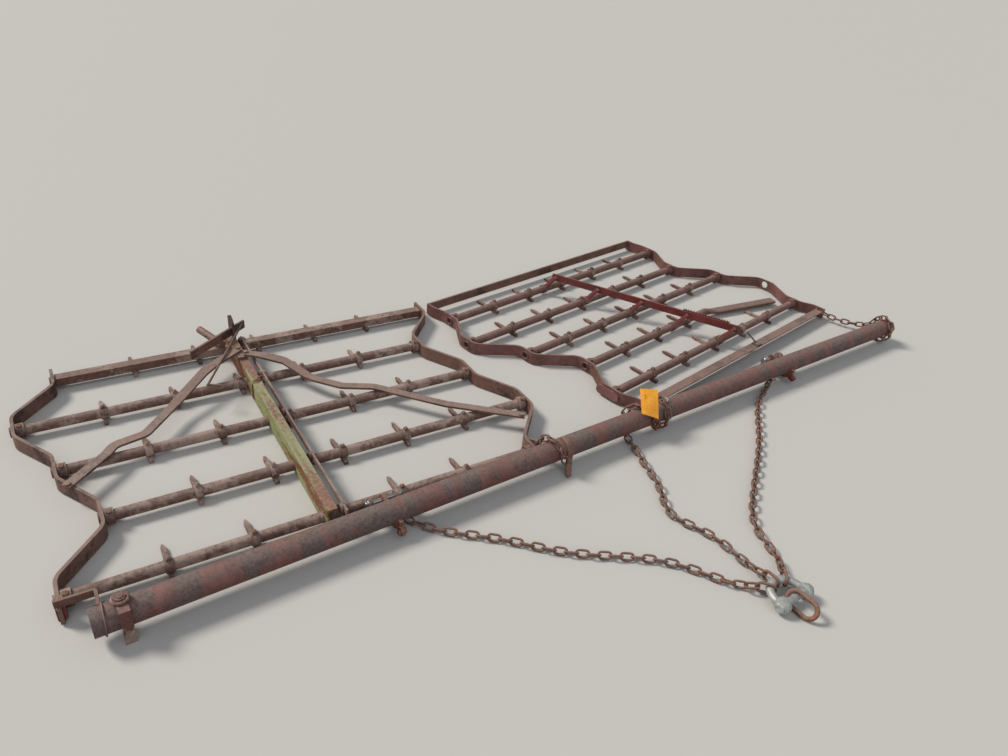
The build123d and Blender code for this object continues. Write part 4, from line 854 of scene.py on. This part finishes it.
class HARROW_OT_tag(bpy.types.Operator):
    """The blank tag that leans on the drawbar, with its lower left corner cut, the thin ring that ties it,
    and the hook strap over the drawbar."""

    bl_idname = "harrow.tag"
    bl_label = "Tag and hook strap"

    def execute(self, context):
        sizes = context.scene.harrow_sizes
        colours = context.scene.harrow_colours
        over, along = unit(np.array([[0.825, -0.565, 0.0], [-0.4, -0.63, -0.66]]))
        lean = np.cross(along, over)
        front, card = tag_card(sizes.tag_width / MM, sizes.tag_length / MM, np.stack((over, along, lean)))
        tag, dust_and_sky_sheen, shadow = colours.tag[:], colours.dust_and_sky_sheen[:], (0.5, 0.2, 0.03)
        # The tag gets only a little of the dust and painted sky sheen on its upward faces
        plain = weathered("harrow_tag", tag, tag, shadow, dust_and_sky_sheen, 0.95, 0.05, shine=0.6)
        put("blank_tag", card, "drawbar", plain)
        turn = np.linspace(0, FULL_TURN, 36, endpoint=False)[:, None]
        hole, ring_radius, ring_back, thinner = front[5, 3], 12 * MM, 8 * MM, 0.55
        ring = hole + ring_radius * (np.cos(turn) * along + np.sin(turn) * lean) - ring_back * lean
        tie = tube(ring, thinner * sizes.tie_wire / 2, over, 8, closed=True)
        put("tag_tie", tie, "drawbar", finish_named("loose_rust"))
        put("hook_strap", strap_shape(), "drawbar", finish_named("link_rust"), crease=30)
        return {"FINISHED"}


class HARROW_OT_finishes(bpy.types.Operator):
    """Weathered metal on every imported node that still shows."""

    bl_idname = "harrow.finishes"
    bl_label = "Finishes"

    def execute(self, context):
        slots = {part["node"]: part["material_slot"] for part in frame["record"]["subparts"]}
        for name, node in frame["nodes"].items():
            if node.hide_render:
                continue
            node.data.materials.clear()
            node.data.materials.append(finish_named(slots[name]))
        return {"FINISHED"}


class HARROW_PT_panel(bpy.types.Panel):
    """Sizes, colours and pieces of the harrow."""

    bl_idname = "HARROW_PT_panel"
    bl_label = "Drag harrow"
    bl_space_type = "VIEW_3D"
    bl_region_type = "UI"
    bl_category = "Harrow"

    def draw(self, context):
        scene = context.scene
        for settings in (scene.harrow_sizes, scene.harrow_colours, scene.harrow_stage):
            column = self.layout.column()
            for name in settings.__annotations__:
                column.prop(settings, name)
        for operator in OPERATORS:
            self.layout.operator(operator.bl_idname)


OPERATORS = (
    HARROW_OT_stage,
    HARROW_OT_chains,
    HARROW_OT_shackle,
    HARROW_OT_bolts,
    HARROW_OT_welds,
    HARROW_OT_wires,
    HARROW_OT_tag,
    HARROW_OT_finishes,
)
GROUPS = (HarrowSizes, HarrowColours, HarrowStage)


def register():
    """Registers the settings, the operators and the panel."""
    for group in (*GROUPS, *OPERATORS, HARROW_PT_panel):
        bpy.utils.register_class(group)
    bpy.types.Scene.harrow_sizes = PointerProperty(type=HarrowSizes)
    bpy.types.Scene.harrow_colours = PointerProperty(type=HarrowColours)
    bpy.types.Scene.harrow_stage = PointerProperty(type=HarrowStage)


def unregister():
    """Takes the settings, the operators and the panel out again."""
    del bpy.types.Scene.harrow_sizes
    del bpy.types.Scene.harrow_colours
    del bpy.types.Scene.harrow_stage
    for group in reversed((*GROUPS, *OPERATORS, HARROW_PT_panel)):
        bpy.utils.unregister_class(group)


def main():
    """Builds every piece in order."""
    register()
    bpy.ops.harrow.stage()
    bpy.ops.harrow.chains()
    bpy.ops.harrow.shackle()
    bpy.ops.harrow.bolts()
    bpy.ops.harrow.welds()
    bpy.ops.harrow.wires()
    bpy.ops.harrow.tag()
    bpy.ops.harrow.finishes()


if __name__ == "__main__":
    main()
